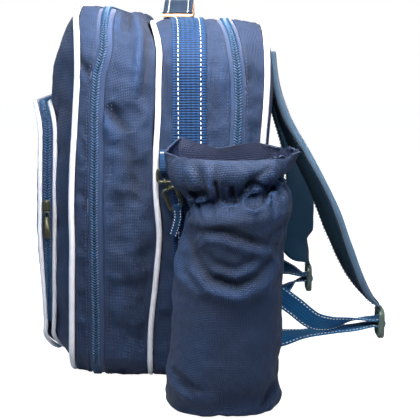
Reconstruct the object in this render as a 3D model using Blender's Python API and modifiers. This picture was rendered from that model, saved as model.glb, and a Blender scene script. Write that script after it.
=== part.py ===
# A picnic backpack: two zipped compartments, a zipped front pocket, a bottle tote clipped to one
# side, a carry handle and two padded shoulder straps.
# Metres. +Z is up, the pack's outer front faces -Y, the wearer's back is at +Y, and the bottle
# tote hangs on the +X side. The origin is the middle of the base, on the floor.

import math

import bmesh
import bpy
from mathutils import Vector

# Driving sizes of the body
PACK_WIDTH = 0.280
FRONT_HEIGHT = 0.356
REAR_HEIGHT = 0.348
FRONT_DEPTH = 0.071
REAR_DEPTH = 0.104
MIDDLE_SEAM_AT = -0.016
FRONT_LEAN = 0.0145
MIDDLE_LEAN = 0.005
TOP_RADIUS = 0.055
FRONT_FOOT_RADIUS = 0.038
REAR_FOOT_RADIUS = 0.020
SIDE_BOW = 0.003
CLOTH_WALL = 0.0025
BACK_PAD_WALL = 0.005
BACK_PAD_RISE = 0.006
BACK_PAD_SHOULDER = 0.045
SEAM_GAP = 0.0004
BASE_GAP = 0.0008
PIPING_RADIUS = 0.0028

# The domed front panel
DOME_RISE = 0.032
DOME_SHOULDER = 0.075

# Zips
ZIP_TAPE_WIDTH = 0.0150
ZIP_TAPE_THICKNESS = 0.0012
ZIP_CHAIN_WIDTH = 0.0070
ZIP_CHAIN_RISE = 0.0016
ZIP_SINK = 0.0006
FRONT_LID_DEPTH = 0.0170
REAR_LID_DEPTH = 0.0290
REAR_ZIP_LEAN = 0.0120

# The front pocket
POCKET_WIDTH = 0.208
POCKET_TOP_AT = 0.268
POCKET_FOOT_AT = 0.018
POCKET_TOP_RADIUS = 0.034
POCKET_FOOT_RADIUS = 0.030
POCKET_ZIP_WIDTH = 0.0095
POCKET_ZIP_END_WIDTH = 0.0030
POCKET_ZIP_FOOT_AT = 0.052
POCKET_PIPING_RADIUS = 0.0022
POCKET_WALL = 0.0020
POCKET_GAP = 0.0008

# The bottle tote
TOTE_HEIGHT = 0.232
TOTE_WIDTH = 0.120
TOTE_DEPTH = 0.100
TOTE_WALL = 0.0025
TOTE_FOOT_AT = 0.0025
TOTE_CENTRE_AT = 0.052
TOTE_LIP_WAVE = 0.0025
TOTE_GATHERS = 10
TOTE_GATHER_DEPTH = 0.0040

# Webbing and handle
WEBBING_WIDTH = 0.032
WEBBING_THICKNESS = 0.0016
WEBBING_CENTRE_AT = 0.0165
WEBBING_FOOT_AT = 0.006
WEBBING_SEAT = 0.0006
HANDLE_CENTRE_AT = 0.0032
HANDLE_WIDTH = 0.030
HANDLE_SPAN = 0.156
HANDLE_RISE = 0.0150
HANDLE_FOOT = 0.020
HANDLE_STEPS = 12
LEATHER_WIDTH = 0.0325
LEATHER_THICKNESS = 0.0026
LEATHER_OVERHANG = 0.006

# Shoulder straps, their ladder locks and the webbing below them
STRAP_WIDTH = 0.060
STRAP_THICKNESS = 0.010
STRAP_LENGTH_DOWN = 0.318
LOCK_WIDTH = 0.030
LOCK_HEIGHT = 0.031
LOCK_THICKNESS = 0.0060
LOCK_RAIL = 0.0035
LOWER_WEBBING_WIDTH = 0.020
LOWER_WEBBING_THICKNESS = 0.0014

# Clip and zip pulls
CLIP_AT = -0.0058
CLIP_OUT = 0.0066
RING_WIDTH = 0.0160
RING_HEIGHT = 0.0115
RING_CORNER = 0.0025
RING_WIRE = 0.0014
EYE_RADIUS = 0.0034
EYE_WIRE = 0.0012
HOOK_SHANK = 0.0030
HOOK_LENGTH = 0.0200
HOOK_WIDTH = 0.0125
HOOK_WIRE = 0.0016
HOOK_CORNER = 0.0022
WIRE_SIDES = 6
TAB_THICKNESS = 0.0013
PACK_TAB_TOP_AT = 0.228
PACK_TAB_WIDTH = 0.0110
PACK_TAB_LENGTH = 0.018
TOTE_TAB_WIDTH = 0.0080
BACK_TAB_AT = 0.0395
BACK_TAB_WIDTH = 0.010
BACK_TAB_TOP_AT = 0.128
BACK_TAB_LENGTH = 0.030
SLIDER_LENGTH = 0.011
SLIDER_WIDTH = 0.0085
SLIDER_HEIGHT = 0.0034
PULL_LENGTH = 0.027
PULL_WIDTH = 0.007
PULL_THICKNESS = 0.0016
POCKET_PULL_AT = 0.170
BODY_PULL_AT = 0.215

# Steps of the outlines, which keep the triangle count down
FOOT_STEPS = 3
POCKET_FOOT_STEPS = 6
SIDE_STEPS = 5
TOP_STEPS = 5
CROWN_STEPS = 3
UNDER_STEPS = 3

HALF_WIDTH = PACK_WIDTH / 2
TOTE_BACK_AT = HALF_WIDTH * 1.006 + SIDE_BOW + WEBBING_SEAT + WEBBING_THICKNESS + SEAM_GAP
PIPING_ROOM = PIPING_RADIUS + SEAM_GAP

# Shares of the pack's half width and of the compartment's height, from the middle seam at 0 to
# the outer seam at 1.
FRONT_SECTIONS = (
    {"at": 0.00, "width": 0.980, "height": 0.974, "foot": 0.75},
    {"at": 0.25, "width": 1.004, "height": 0.988, "foot": 0.85},
    {"at": 0.60, "width": 1.006, "height": 1.006, "foot": 0.95},
    {"at": 1.00, "width": 0.972, "height": 1.014, "foot": 1.00},
)
REAR_SECTIONS = (
    {"at": 0.00, "width": 0.980, "height": 0.996, "foot": 1.00},
    {"at": 0.20, "width": 1.006, "height": 1.003, "foot": 1.00},
    {"at": 0.65, "width": 1.004, "height": 1.002, "foot": 1.05},
    {"at": 1.00, "width": 0.968, "height": 0.990, "foot": 1.15},
)

# The tote from its foot to its lip. The sides are shares of its width from its middle line, and
# out is the share of its depth. Gathers is the share of their full depth.
TOTE_SECTIONS = (
    {"up": 0.000, "front": -0.410, "rear": 0.310, "out": 0.84, "gathers": 0.00},
    {"up": 0.012, "front": -0.455, "rear": 0.365, "out": 0.92, "gathers": 0.00},
    {"up": 0.060, "front": -0.470, "rear": 0.360, "out": 0.95, "gathers": 0.00},
    {"up": 0.250, "front": -0.450, "rear": 0.396, "out": 0.93, "gathers": 0.05},
    {"up": 0.400, "front": -0.436, "rear": 0.398, "out": 0.92, "gathers": 0.05},
    {"up": 0.510, "front": -0.420, "rear": 0.408, "out": 0.94, "gathers": 0.10},
    {"up": 0.620, "front": -0.390, "rear": 0.446, "out": 0.98, "gathers": 0.15},
    {"up": 0.710, "front": -0.352, "rear": 0.470, "out": 0.97, "gathers": 0.40},
    {"up": 0.790, "front": -0.368, "rear": 0.476, "out": 0.92, "gathers": 0.85},
    {"up": 0.845, "front": -0.380, "rear": 0.418, "out": 0.86, "gathers": 1.00},
    {"up": 0.900, "front": -0.420, "rear": 0.455, "out": 0.90, "gathers": 0.80},
    {"up": 0.950, "front": -0.456, "rear": 0.520, "out": 0.95, "gathers": 0.60},
    {"up": 1.000, "front": -0.480, "rear": 0.526, "out": 0.96, "gathers": 0.45},
)
TOTE_SIDES = 40
TOTE_ROUNDNESS = 2.6
TOTE_BACK_FLATNESS = 5.0


def clear_scene():
    for obj in list(bpy.data.objects):
        bpy.data.objects.remove(obj, do_unlink=True)


def collection_named(name):
    made = bpy.data.collections.new(name)
    bpy.context.scene.collection.children.link(made)
    return made


def material_named(name, colour, roughness, metallic=0.0):
    made = bpy.data.materials.new(name)
    made.use_nodes = True
    shader = made.node_tree.nodes["Principled BSDF"]
    shader.inputs["Base Color"].default_value = (*colour, 1.0)
    shader.inputs["Roughness"].default_value = roughness
    shader.inputs["Metallic"].default_value = metallic
    return made


def lerp(a, b, share):
    return a + (b - a) * share


def table_value(table, key, at, column):
    """The smooth value of one column where the table's key column is at."""
    if at <= table[0][key]:
        return table[0][column]
    for low, high in zip(table, table[1:]):
        if at <= high[key]:
            share = (at - low[key]) / (high[key] - low[key])
            return lerp(low[column], high[column], share * share * (3 - 2 * share))
    return table[-1][column]


def add_mesh(name, points, faces, material):
    mesh = bpy.data.meshes.new(name)
    mesh.from_pydata([tuple(p) for p in points], [], faces)
    mesh.validate()
    shaped = bmesh.new()
    shaped.from_mesh(mesh)
    bmesh.ops.recalc_face_normals(shaped, faces=shaped.faces)
    shaped.to_mesh(mesh)
    shaped.free()
    obj = bpy.data.objects.new(name, mesh)
    mesh.materials.append(material)
    PACK.objects.link(obj)
    return obj


def strip_faces(rows, columns, ring):
    """Quads between rows of points, where ring closes each row on itself."""
    faces = []
    last = columns if ring else columns - 1
    for row in range(rows - 1):
        for column in range(last):
            follow = (column + 1) % columns
            faces.append((row * columns + column, row * columns + follow,
                          (row + 1) * columns + follow, (row + 1) * columns + column))
    return faces


def loft_solid(name, sections, material):
    """A closed solid through closed sections, capped at both ends."""
    columns = len(sections[0])
    points = [p for section in sections for p in section]
    faces = strip_faces(len(sections), columns, True)
    faces.append(tuple(range(columns)))
    faces.append(tuple(range(len(points) - columns, len(points))))
    return add_mesh(name, points, faces, material)


def thicken(obj, thickness, offset):
    wall = obj.modifiers.new("wall", "SOLIDIFY")
    wall.thickness = thickness
    wall.offset = offset
    wall.use_even_offset = True
    wall.thickness_clamp = 0
    return obj


def tube(name, points, radius, material, closed):
    """A round cord through the points."""
    curve = bpy.data.curves.new(name, "CURVE")
    curve.dimensions = "3D"
    curve.bevel_depth = radius
    curve.bevel_resolution = 1
    curve.use_fill_caps = not closed
    spline = curve.splines.new("POLY")
    spline.points.add(len(points) - 1)
    for slot, point in zip(spline.points, points):
        slot.co = (*point, 1.0)
    spline.use_cyclic_u = closed
    curve.materials.append(material)
    obj = bpy.data.objects.new(name, curve)
    PACK.objects.link(obj)
    return obj


def outline(half, top, foot, top_radius, foot_radius, closed=False, foot_steps=FOOT_STEPS):
    """Points (x, z) of a round-cornered upright shape, from its foot at +X over the top to -X.
    A closed outline also runs back along the underside."""
    right = []
    for step in range(foot_steps + 1):
        angle = math.radians(-90 + 90 * step / foot_steps)
        right.append((half - foot_radius + foot_radius * math.cos(angle),
                      foot + foot_radius + foot_radius * math.sin(angle)))
    low, high = foot + foot_radius, top - top_radius
    for step in range(1, SIDE_STEPS):
        share = step / SIDE_STEPS
        right.append((half + SIDE_BOW * math.sin(math.pi * share), lerp(low, high, share)))
    for step in range(TOP_STEPS + 1):
        angle = math.radians(90 * step / TOP_STEPS)
        right.append((half - top_radius + top_radius * math.cos(angle),
                      high + top_radius * math.sin(angle)))
    for step in range(1, CROWN_STEPS):
        right.append(((half - top_radius) * (1 - step / CROWN_STEPS), top))
    points = right + [(0.0, top)] + [(-x, z) for x, z in reversed(right)]
    if closed:
        edge = half - foot_radius
        points += [(-edge * (1 - 2 * step / UNDER_STEPS), foot) for step in range(1, UNDER_STEPS)]
    return points


def outline_normals(points, closed=False):
    """The outward direction (x, z) at each point of an outline."""
    found = []
    count = len(points)
    for i in range(count):
        before = points[i - 1] if closed or i else points[0]
        after = points[(i + 1) % count] if closed or i < count - 1 else points[-1]
        along = Vector((after[0] - before[0], after[1] - before[1])).normalized()
        found.append((along.y, -along.x))
    return found


class Ring:
    """A cross-section of the body. Its plane leans: y_top at the crown and y_foot on the floor."""

    def __init__(self, y_top, y_foot):
        self.y_top = y_top
        self.y_foot = y_foot
        front = y_top < MIDDLE_SEAM_AT
        self.sections = FRONT_SECTIONS if front else REAR_SECTIONS
        self.height = FRONT_HEIGHT if front else REAR_HEIGHT
        depth = FRONT_DEPTH if front else REAR_DEPTH
        self.share = abs(y_top - MIDDLE_SEAM_AT) / depth
        self.half = HALF_WIDTH * self.value("width")
        self.top = self.height * self.value("height")
        base = lerp(REAR_FOOT_RADIUS, FRONT_FOOT_RADIUS, self.share) if front else REAR_FOOT_RADIUS
        self.foot_radius = base * self.value("foot") if not front else base

    def value(self, column):
        return table_value(self.sections, "at", self.share, column)

    def y_at(self, z):
        return lerp(self.y_foot, self.y_top, z / self.height)

    def outline(self, inset=0.0, foot=0.0, closed=False):
        return outline(self.half - inset, self.top - inset, foot + max(inset, 0.0),
                       max(TOP_RADIUS - inset, 0.002), max(self.foot_radius - inset, 0.002), closed)

    def points(self, inset=0.0, foot=0.0, closed=False):
        return [(x, self.y_at(z), z) for x, z in self.outline(inset, foot, closed)]


def ring_between(a, b, share):
    return Ring(lerp(a.y_top, b.y_top, share), lerp(a.y_foot, b.y_foot, share))


def ring_beside(ring, step):
    """The ring moved along the pack by step, towards +Y when it is positive."""
    return Ring(ring.y_top + step, ring.y_foot + step)


MIDDLE_SEAM = Ring(MIDDLE_SEAM_AT, MIDDLE_SEAM_AT - MIDDLE_LEAN)
FRONT_SEAM = Ring(MIDDLE_SEAM_AT - FRONT_DEPTH, MIDDLE_SEAM_AT - FRONT_DEPTH - FRONT_LEAN)
REAR_SEAM = Ring(MIDDLE_SEAM_AT + REAR_DEPTH, MIDDLE_SEAM_AT + REAR_DEPTH)
FRONT_ZIP_FORE = ring_beside(FRONT_SEAM, FRONT_LID_DEPTH)
FRONT_ZIP_AFT = ring_beside(FRONT_ZIP_FORE, ZIP_TAPE_WIDTH)
REAR_ZIP_AFT = Ring(REAR_SEAM.y_top - REAR_LID_DEPTH,
                    REAR_SEAM.y_foot - REAR_LID_DEPTH + REAR_ZIP_LEAN)
REAR_ZIP_FORE = ring_beside(REAR_ZIP_AFT, -ZIP_TAPE_WIDTH)

# The strips of cloth over the pack: name, foremost ring, rearmost ring, steps between them
BANDS = (
    ("front_gusset", ring_beside(FRONT_SEAM, PIPING_ROOM), FRONT_ZIP_FORE, 2),
    ("middle_gusset", FRONT_ZIP_AFT, ring_beside(MIDDLE_SEAM, -PIPING_ROOM), 4),
    ("rear_gusset", ring_beside(MIDDLE_SEAM, PIPING_ROOM), REAR_ZIP_FORE, 3),
    ("back_gusset", REAR_ZIP_AFT, ring_beside(REAR_SEAM, -PIPING_ROOM), 2),
)


def rings_between(fore, aft, steps):
    return [ring_between(fore, aft, step / steps) for step in range(steps + 1)]


def body_band(name, fore, aft, steps, material):
    """A strip of cloth over the pack between two rings, from foot to foot. Each section runs along
    the outside and back along the inside."""
    points = []
    for ring in rings_between(fore, aft, steps):
        points += ring.points() + ring.points(CLOTH_WALL)[::-1]
    columns = len(points) // (steps + 1)
    faces = strip_faces(steps + 1, columns, True)
    for start in (0, steps * columns):
        for i in range(columns // 2 - 1):
            faces.append((start + i, start + i + 1,
                          start + columns - 2 - i, start + columns - 1 - i))
    return add_mesh(name, points, faces, material)


def face_outwards(obj, centre=Vector((0.0, 0.0, FRONT_HEIGHT / 2))):
    """Turns an open sheet so that its faces point away from the centre."""
    shaped = bmesh.new()
    shaped.from_mesh(obj.data)
    turned = sum((face.calc_center_median() - centre).dot(face.normal) * face.calc_area()
                 for face in shaped.faces)
    if turned < 0:
        bmesh.ops.reverse_faces(shaped, faces=shaped.faces)
    shaped.to_mesh(obj.data)
    shaped.free()


def zip_band(name, fore, aft, material):
    """A zip's tape with its raised chain, from foot to foot."""
    lead, tail = ring_beside(fore, SEAM_GAP), ring_beside(aft, -SEAM_GAP)
    chain = ZIP_CHAIN_WIDTH / (tail.y_top - lead.y_top) / 2
    under = -ZIP_SINK - ZIP_TAPE_THICKNESS
    profile = ((0.0, under), (0.0, -ZIP_SINK), (0.5 - chain, ZIP_CHAIN_RISE),
               (0.5 + chain, ZIP_CHAIN_RISE), (1.0, -ZIP_SINK), (1.0, under))
    rings = [(ring_between(lead, tail, share), lift) for share, lift in profile]
    outlines = [ring.outline() for ring, _ in rings]
    sections = []
    for i in range(len(outlines[0])):
        section = []
        for (ring, lift), points in zip(rings, outlines):
            x, z = points[i]
            out_x, out_z = outline_normals(points)[i]
            # The underside stays on the floor side of the ends, so the lift fades out there.
            rise = lift if z > abs(lift) else min(lift, 0.0)
            section.append((x + out_x * rise, ring.y_at(z), max(z + out_z * rise, 0.0)))
        sections.append(section)
    return loft_solid(name, sections, material)


def seam_piping(name, ring, material, closed):
    """The cord along a seam. Its centre is on the cloth, and at the foot it stays off the floor."""
    return tube(name, ring.points(0.0, PIPING_RADIUS, closed), PIPING_RADIUS, material, closed)


def distance_inside(x, z, half, top, foot, top_radius, foot_radius):
    """How far the point (x, z) lies inside a round-cornered upright shape."""
    middle = (top + foot) / 2
    radius = top_radius if z > middle else foot_radius
    beyond_x = abs(x) - (half - radius)
    beyond_z = abs(z - middle) - ((top - foot) / 2 - radius)
    outside = math.hypot(max(beyond_x, 0.0), max(beyond_z, 0.0))
    return radius - outside - min(max(beyond_x, beyond_z), 0.0)


def front_surface(x, z, lift=0.0):
    """The y of the domed front panel's outer face at (x, z), lifted off it by lift."""
    depth = distance_inside(x, z, FRONT_SEAM.half - PIPING_ROOM, FRONT_SEAM.top - PIPING_ROOM,
                            PIPING_RADIUS + PIPING_ROOM, TOP_RADIUS - PIPING_ROOM,
                            FRONT_SEAM.foot_radius - PIPING_ROOM)
    fall = 1 - min(max(depth / DOME_SHOULDER, 0.0), 1.0)
    return FRONT_SEAM.y_at(z) - DOME_RISE * (1 - fall * fall) - lift


def front_normal(x, z):
    """The outward direction of the domed front panel at (x, z)."""
    step = 0.0005
    slope_x = (front_surface(x + step, z) - front_surface(x - step, z)) / (2 * step)
    slope_z = (front_surface(x, z + step) - front_surface(x, z - step)) / (2 * step)
    return Vector((slope_x, -1.0, slope_z)).normalized()


def domed_panel(name, rings, surface, wall, material):
    """A closed panel through inset outlines, with its height given by surface(x, z)."""
    points, columns = [], len(rings[0])
    for ring in rings:
        points += [(x, surface(x, z), z) for x, z in ring]
    faces = strip_faces(len(rings), columns, True)
    faces.append(tuple(range(len(points) - columns, len(points))))
    obj = add_mesh(name, points, faces, material)
    face_outwards(obj)
    return thicken(obj, wall, -1.0)


def build_front_panel():
    insets = (0.0, 0.12, 0.26, 0.42, 0.58, 0.76, 1.0)
    foot = PIPING_RADIUS
    rings = [FRONT_SEAM.outline(PIPING_ROOM + DOME_SHOULDER * share, foot, True)
             for share in insets]
    domed_panel("front_panel", rings, front_surface, CLOTH_WALL, CLOTH)


def back_surface(x, z):
    """The y of the padded back panel's outer face at (x, z)."""
    depth = distance_inside(x, z, REAR_SEAM.half - PIPING_ROOM, REAR_SEAM.top - PIPING_ROOM,
                            PIPING_RADIUS + PIPING_ROOM, TOP_RADIUS - PIPING_ROOM,
                            max(REAR_SEAM.foot_radius - PIPING_ROOM, 0.002))
    fall = 1 - min(max(depth / BACK_PAD_SHOULDER, 0.0), 1.0)
    return REAR_SEAM.y_at(z) + BACK_PAD_RISE * (1 - fall * fall)


def build_back_panel():
    rings = [REAR_SEAM.outline(PIPING_ROOM + BACK_PAD_SHOULDER * share, PIPING_RADIUS, True)
             for share in (0.0, 0.35, 1.0)]
    domed_panel("back_panel", rings, back_surface, BACK_PAD_WALL, CLOTH)


def build_base():
    """The flat floor of the pack, between the feet of the side strips."""
    sections = []
    for ring in [ring for _, fore, aft, steps in BANDS for ring in rings_between(fore, aft, steps)]:
        edge = ring.half - ring.foot_radius - BASE_GAP
        sections.append([(edge, ring.y_foot, 0.0), (edge, ring.y_foot, CLOTH_WALL),
                         (-edge, ring.y_foot, CLOTH_WALL), (-edge, ring.y_foot, 0.0)])
    loft_solid("base_panel", sections, CLOTH)


def build_body():
    for name, fore, aft, steps in BANDS:
        body_band(name, fore, aft, steps, CLOTH)
    zip_band("front_zip", FRONT_ZIP_FORE, FRONT_ZIP_AFT, ZIP_BLUE)
    zip_band("rear_zip", REAR_ZIP_FORE, REAR_ZIP_AFT, ZIP_BLUE)
    seam_piping("front_piping", FRONT_SEAM, PIPING, True)
    seam_piping("middle_piping", MIDDLE_SEAM, PIPING, False)
    seam_piping("rear_piping", REAR_SEAM, PIPING, True)
    build_front_panel()
    build_back_panel()
    build_base()


def pocket_outline(inset=0.0, foot_at=POCKET_FOOT_AT, closed=True):
    return outline(POCKET_WIDTH / 2 - inset, POCKET_TOP_AT - inset, foot_at + inset,
                   max(POCKET_TOP_RADIUS - inset, 0.002), max(POCKET_FOOT_RADIUS - inset, 0.002),
                   closed, POCKET_FOOT_STEPS)


def pocket_zip_width(z):
    """The zip narrows to its ends near the pocket's foot."""
    share = min(max((z - POCKET_ZIP_FOOT_AT) / (3 * POCKET_FOOT_RADIUS), 0.0), 1.0)
    return lerp(POCKET_ZIP_END_WIDTH, POCKET_ZIP_WIDTH, share)


def pocket_point(x, z, reach):
    """A point straight out in front of the rear piping's centre, which seats on the panel."""
    seat = POCKET_GAP + POCKET_PIPING_RADIUS
    return Vector((x, front_surface(x, z), z)) + front_normal(x, z) * seat - Vector((0, reach, 0))


def pocket_front_reach(z):
    """How far the front piping's centre is in front of the rear piping's."""
    return 2 * (POCKET_PIPING_RADIUS + SEAM_GAP) + pocket_zip_width(z)


def pocket_face_surface(x, z):
    return pocket_point(x, z, pocket_front_reach(z) + POCKET_WALL / 2).y


def build_pocket():
    path = pocket_outline()
    tube("pocket_rear_piping", [pocket_point(x, z, 0.0) for x, z in path],
         POCKET_PIPING_RADIUS, PIPING, True)
    tube("pocket_front_piping", [pocket_point(x, z, pocket_front_reach(z)) for x, z in path],
         POCKET_PIPING_RADIUS, PIPING, True)
    build_pocket_zip()
    room = POCKET_PIPING_RADIUS + SEAM_GAP
    rings = [pocket_outline(room + POCKET_WIDTH / 2 * share) for share in (0.0, 0.10, 0.40)]
    domed_panel("pocket_face", rings, pocket_face_surface, POCKET_WALL, CLOTH)


def build_pocket_zip():
    """The zip between the two pipings, over the pocket's top and down both sides."""
    path = pocket_outline(0.0, POCKET_ZIP_FOOT_AT - POCKET_FOOT_RADIUS, False)
    path = [p for p in path if p[1] >= POCKET_ZIP_FOOT_AT - 1e-6]
    normals = outline_normals(path)
    half = ZIP_TAPE_THICKNESS / 2
    sections = []
    for (x, z), (out_x, out_z) in zip(path, normals):
        width = pocket_zip_width(z)
        chain = min(ZIP_CHAIN_WIDTH, width * 0.7) / 2
        near = POCKET_PIPING_RADIUS + SEAM_GAP
        middle = near + width / 2
        profile = ((near, -half), (near, half), (middle - chain, half + ZIP_CHAIN_RISE),
                   (middle + chain, half + ZIP_CHAIN_RISE), (near + width, half),
                   (near + width, -half))
        section = []
        for reach, rise in profile:
            section.append(pocket_point(x, z, reach) + Vector((out_x, 0.0, out_z)) * rise)
        sections.append(section)
    loft_solid("pocket_zip", sections, ZIP_BLUE)


def tote_outline(row):
    """One level of the tote's outer face, seen from above."""
    level = TOTE_FOOT_AT + TOTE_HEIGHT * row["up"]
    middle = TOTE_CENTRE_AT + TOTE_WIDTH * (row["front"] + row["rear"]) / 2
    half_width = TOTE_WIDTH * (row["rear"] - row["front"]) / 2
    half_depth = TOTE_DEPTH * row["out"] / 2
    points = []
    for side in range(TOTE_SIDES):
        angle = 2 * math.pi * side / TOTE_SIDES
        out, along = math.cos(angle), math.sin(angle)
        power = 2 / (TOTE_ROUNDNESS if out > 0 else TOTE_BACK_FLATNESS)
        fold = (1 + math.cos(TOTE_GATHERS * angle)) / 2 * row["gathers"] * TOTE_GATHER_DEPTH
        x = math.copysign(abs(out) ** power, out) * (half_depth - fold)
        y = math.copysign(abs(along) ** (2 / TOTE_ROUNDNESS), along) * (half_width - fold)
        wave = TOTE_LIP_WAVE * math.cos(3 * angle) if row["up"] == 1 else 0.0
        points.append((TOTE_BACK_AT + half_depth + x, middle + y, level + wave))
    return points


def build_tote():
    rows = [tote_outline(row) for row in TOTE_SECTIONS]
    points = [p for row in rows for p in row]
    faces = strip_faces(len(rows), TOTE_SIDES, True) + [tuple(range(TOTE_SIDES))]
    obj = add_mesh("bottle_tote", points, faces, CLOTH)
    centre = Vector((TOTE_BACK_AT + TOTE_DEPTH / 2, TOTE_CENTRE_AT, TOTE_HEIGHT / 2))
    face_outwards(obj, centre)
    thicken(obj, TOTE_WALL, -1.0)


def ribbon(name, path, material, width, thickness, rounded=False, lay=(1, 0, 0)):
    """A strip along rows of a path: x, y, z, roll in degrees and the shares of width and
    thickness. Without roll the strip's width runs along the direction lay."""
    sections = []
    for i, row in enumerate(path):
        before, after = path[max(i - 1, 0)], path[min(i + 1, len(path) - 1)]
        along = Vector((after["x"], after["y"], after["z"]))
        along -= Vector((before["x"], before["y"], before["z"]))
        along.normalize()
        across = Vector(lay) - along * along.dot(Vector(lay))
        across.normalize()
        face = along.cross(across)
        roll = math.radians(row.get("roll", 0))
        across, face = (across * math.cos(roll) + face * math.sin(roll),
                        face * math.cos(roll) - across * math.sin(roll))
        half_width = width * row.get("width", 1.0) / 2
        half = thickness * row.get("thick", 1.0) / 2
        edge = half_width - half if rounded else half_width
        shape = [(half_width, -half), (half_width, half), (-half_width, half), (-half_width, -half)]
        if rounded:
            shape = [(edge, -half), (half_width, 0), (edge, half), (0, half * 1.08),
                     (-edge, half), (-half_width, 0), (-edge, -half), (0, -half * 1.08)]
        centre = Vector((row["x"], row["y"], row["z"]))
        sections.append([centre + across * a + face * b for a, b in shape])
    return loft_solid(name, sections, material)


def rows_of(columns, *values):
    return [dict(zip(columns, row)) for row in values]


def build_side_webbing(name, side):
    """Webbing up one side and over the top edge to the handle's foot, where it drifts forward."""
    reach = HANDLE_SPAN / 2 - WEBBING_WIDTH
    sections = []
    for edge in (-1, 1):
        ring = Ring(WEBBING_CENTRE_AT + edge * WEBBING_WIDTH / 2,
                    WEBBING_CENTRE_AT + edge * WEBBING_WIDTH / 2)
        low = [p for p in ring.points(-WEBBING_SEAT) if p[0] > reach]
        high = [p for p in ring.points(-WEBBING_SEAT - WEBBING_THICKNESS) if p[0] > reach]
        sections.append((low, high))
    lofted = []
    for i in range(2, len(sections[0][0])):
        row = []
        for (low, high), order in zip(sections, ((0, 1), (1, 0))):
            for which in order:
                x, y, z = (low, high)[which][i]
                share = min(max((HALF_WIDTH - x) / (HALF_WIDTH - reach), 0.0), 1.0)
                drift = (WEBBING_CENTRE_AT - HANDLE_CENTRE_AT) * share * share
                row.append((side * x, y - drift, z))
        lofted.append(row)
    loft_solid(name, lofted, WEBBING)


def handle_base():
    """The height of the side webbing's upper face at the handle's foot."""
    top = Ring(HANDLE_CENTRE_AT + HANDLE_WIDTH / 2, HANDLE_CENTRE_AT + HANDLE_WIDTH / 2).top
    return top + WEBBING_SEAT + WEBBING_THICKNESS + SEAM_GAP


def build_handle():
    """The webbing arch with the leather strip under it."""
    leather_middle = handle_base() + LEATHER_THICKNESS / 2
    webbing_middle = handle_base() + LEATHER_THICKNESS + SEAM_GAP + WEBBING_THICKNESS / 2
    for name, level, span, width, thickness, material in (
            ("handle_leather", leather_middle, HANDLE_SPAN + 2 * LEATHER_OVERHANG, LEATHER_WIDTH,
             LEATHER_THICKNESS, LEATHER),
            ("handle_webbing", webbing_middle, HANDLE_SPAN, HANDLE_WIDTH, WEBBING_THICKNESS,
             WEBBING)):
        stations = [HANDLE_SPAN * (step / HANDLE_STEPS - 0.5) for step in range(HANDLE_STEPS + 1)]
        stations[0], stations[-1] = -span / 2, span / 2
        sections = []
        for x in stations:
            share = max(1 - abs(x) / (HANDLE_SPAN / 2 - HANDLE_FOOT), 0.0)
            z = level + HANDLE_RISE * share * share * (3 - 2 * share)
            near, far = HANDLE_CENTRE_AT - width / 2, HANDLE_CENTRE_AT + width / 2
            sections.append([(x, near, z - thickness / 2), (x, near, z + thickness / 2),
                             (x, far, z + thickness / 2), (x, far, z - thickness / 2)])
        loft_solid(name, sections, material)


# The straps' middle lines. The x, behind and z columns are shares of the height where the straps
# leave the pack, and behind is counted from the rear seam.
STRAP_COLUMNS = ("x", "behind", "z", "roll", "width", "thick")


def strap_point(x, behind, z):
    return (STRAP_LENGTH_DOWN * x, MIDDLE_SEAM_AT + REAR_DEPTH + STRAP_LENGTH_DOWN * behind,
            STRAP_LENGTH_DOWN * z)


def strap_rows(columns, *values):
    """Rows of a strap's table with their places in metres."""
    rows = rows_of(columns, *values)
    for row in rows:
        row["x"], row["y"], row["z"] = strap_point(row["x"], row.pop("behind"), row["z"])
    return rows


NEAR_STRAP = strap_rows(
    STRAP_COLUMNS,
    (0.1572, 0.0292, 1.0000, 0, 0.96, 0.80),
    (0.1604, 0.0371, 0.9119, 0, 1.00, 1.00),
    (0.1667, 0.0692, 0.7956, -4, 1.00, 1.00),
    (0.1761, 0.1289, 0.6761, -11, 1.00, 1.00),
    (0.1887, 0.2091, 0.5157, -14, 1.00, 1.00),
    (0.2013, 0.2642, 0.3742, -13, 0.96, 1.00),
    (0.2138, 0.3160, 0.2642, -8, 0.84, 1.00),
    (0.2233, 0.3585, 0.2075, -2, 0.60, 0.70),
    (0.2264, 0.3852, 0.1833, 0, 0.46, 0.35),
)
FAR_STRAP = strap_rows(
    STRAP_COLUMNS,
    (-0.1572, 0.0292, 1.0000, 0, 0.96, 0.80),
    (-0.1604, 0.0371, 0.9119, 0, 1.00, 1.00),
    (-0.1667, 0.0660, 0.7956, 4, 1.00, 1.00),
    (-0.1761, 0.1132, 0.6761, 14, 1.00, 1.00),
    (-0.1887, 0.1541, 0.5409, 30, 1.00, 1.00),
    (-0.2013, 0.1525, 0.3836, 46, 0.98, 1.00),
    (-0.2138, 0.1635, 0.2893, 40, 0.86, 1.00),
    (-0.2233, 0.1912, 0.2484, 16, 0.60, 0.70),
    (-0.2264, 0.2006, 0.2208, 0, 0.46, 0.35),
)


def boxed(name, size, centre, material):
    points = []
    for a in (-0.5, 0.5):
        for b in (-0.5, 0.5):
            for c in (-0.5, 0.5):
                points.append(Vector(centre) + Vector((a * size[0], b * size[1], c * size[2])))
    faces = [(0, 1, 3, 2), (4, 6, 7, 5), (0, 4, 5, 1), (2, 3, 7, 6), (0, 2, 6, 4), (1, 5, 7, 3)]
    return add_mesh(name, points, faces, material)


def cut(obj, tool):
    CUTTERS.objects.link(tool)
    PACK.objects.unlink(tool)
    tool.hide_render = True
    tool.display_type = "WIRE"
    step = obj.modifiers.new("cut", "BOOLEAN")
    step.operation = "DIFFERENCE"
    step.solver = "EXACT"
    step.object = tool


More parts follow.
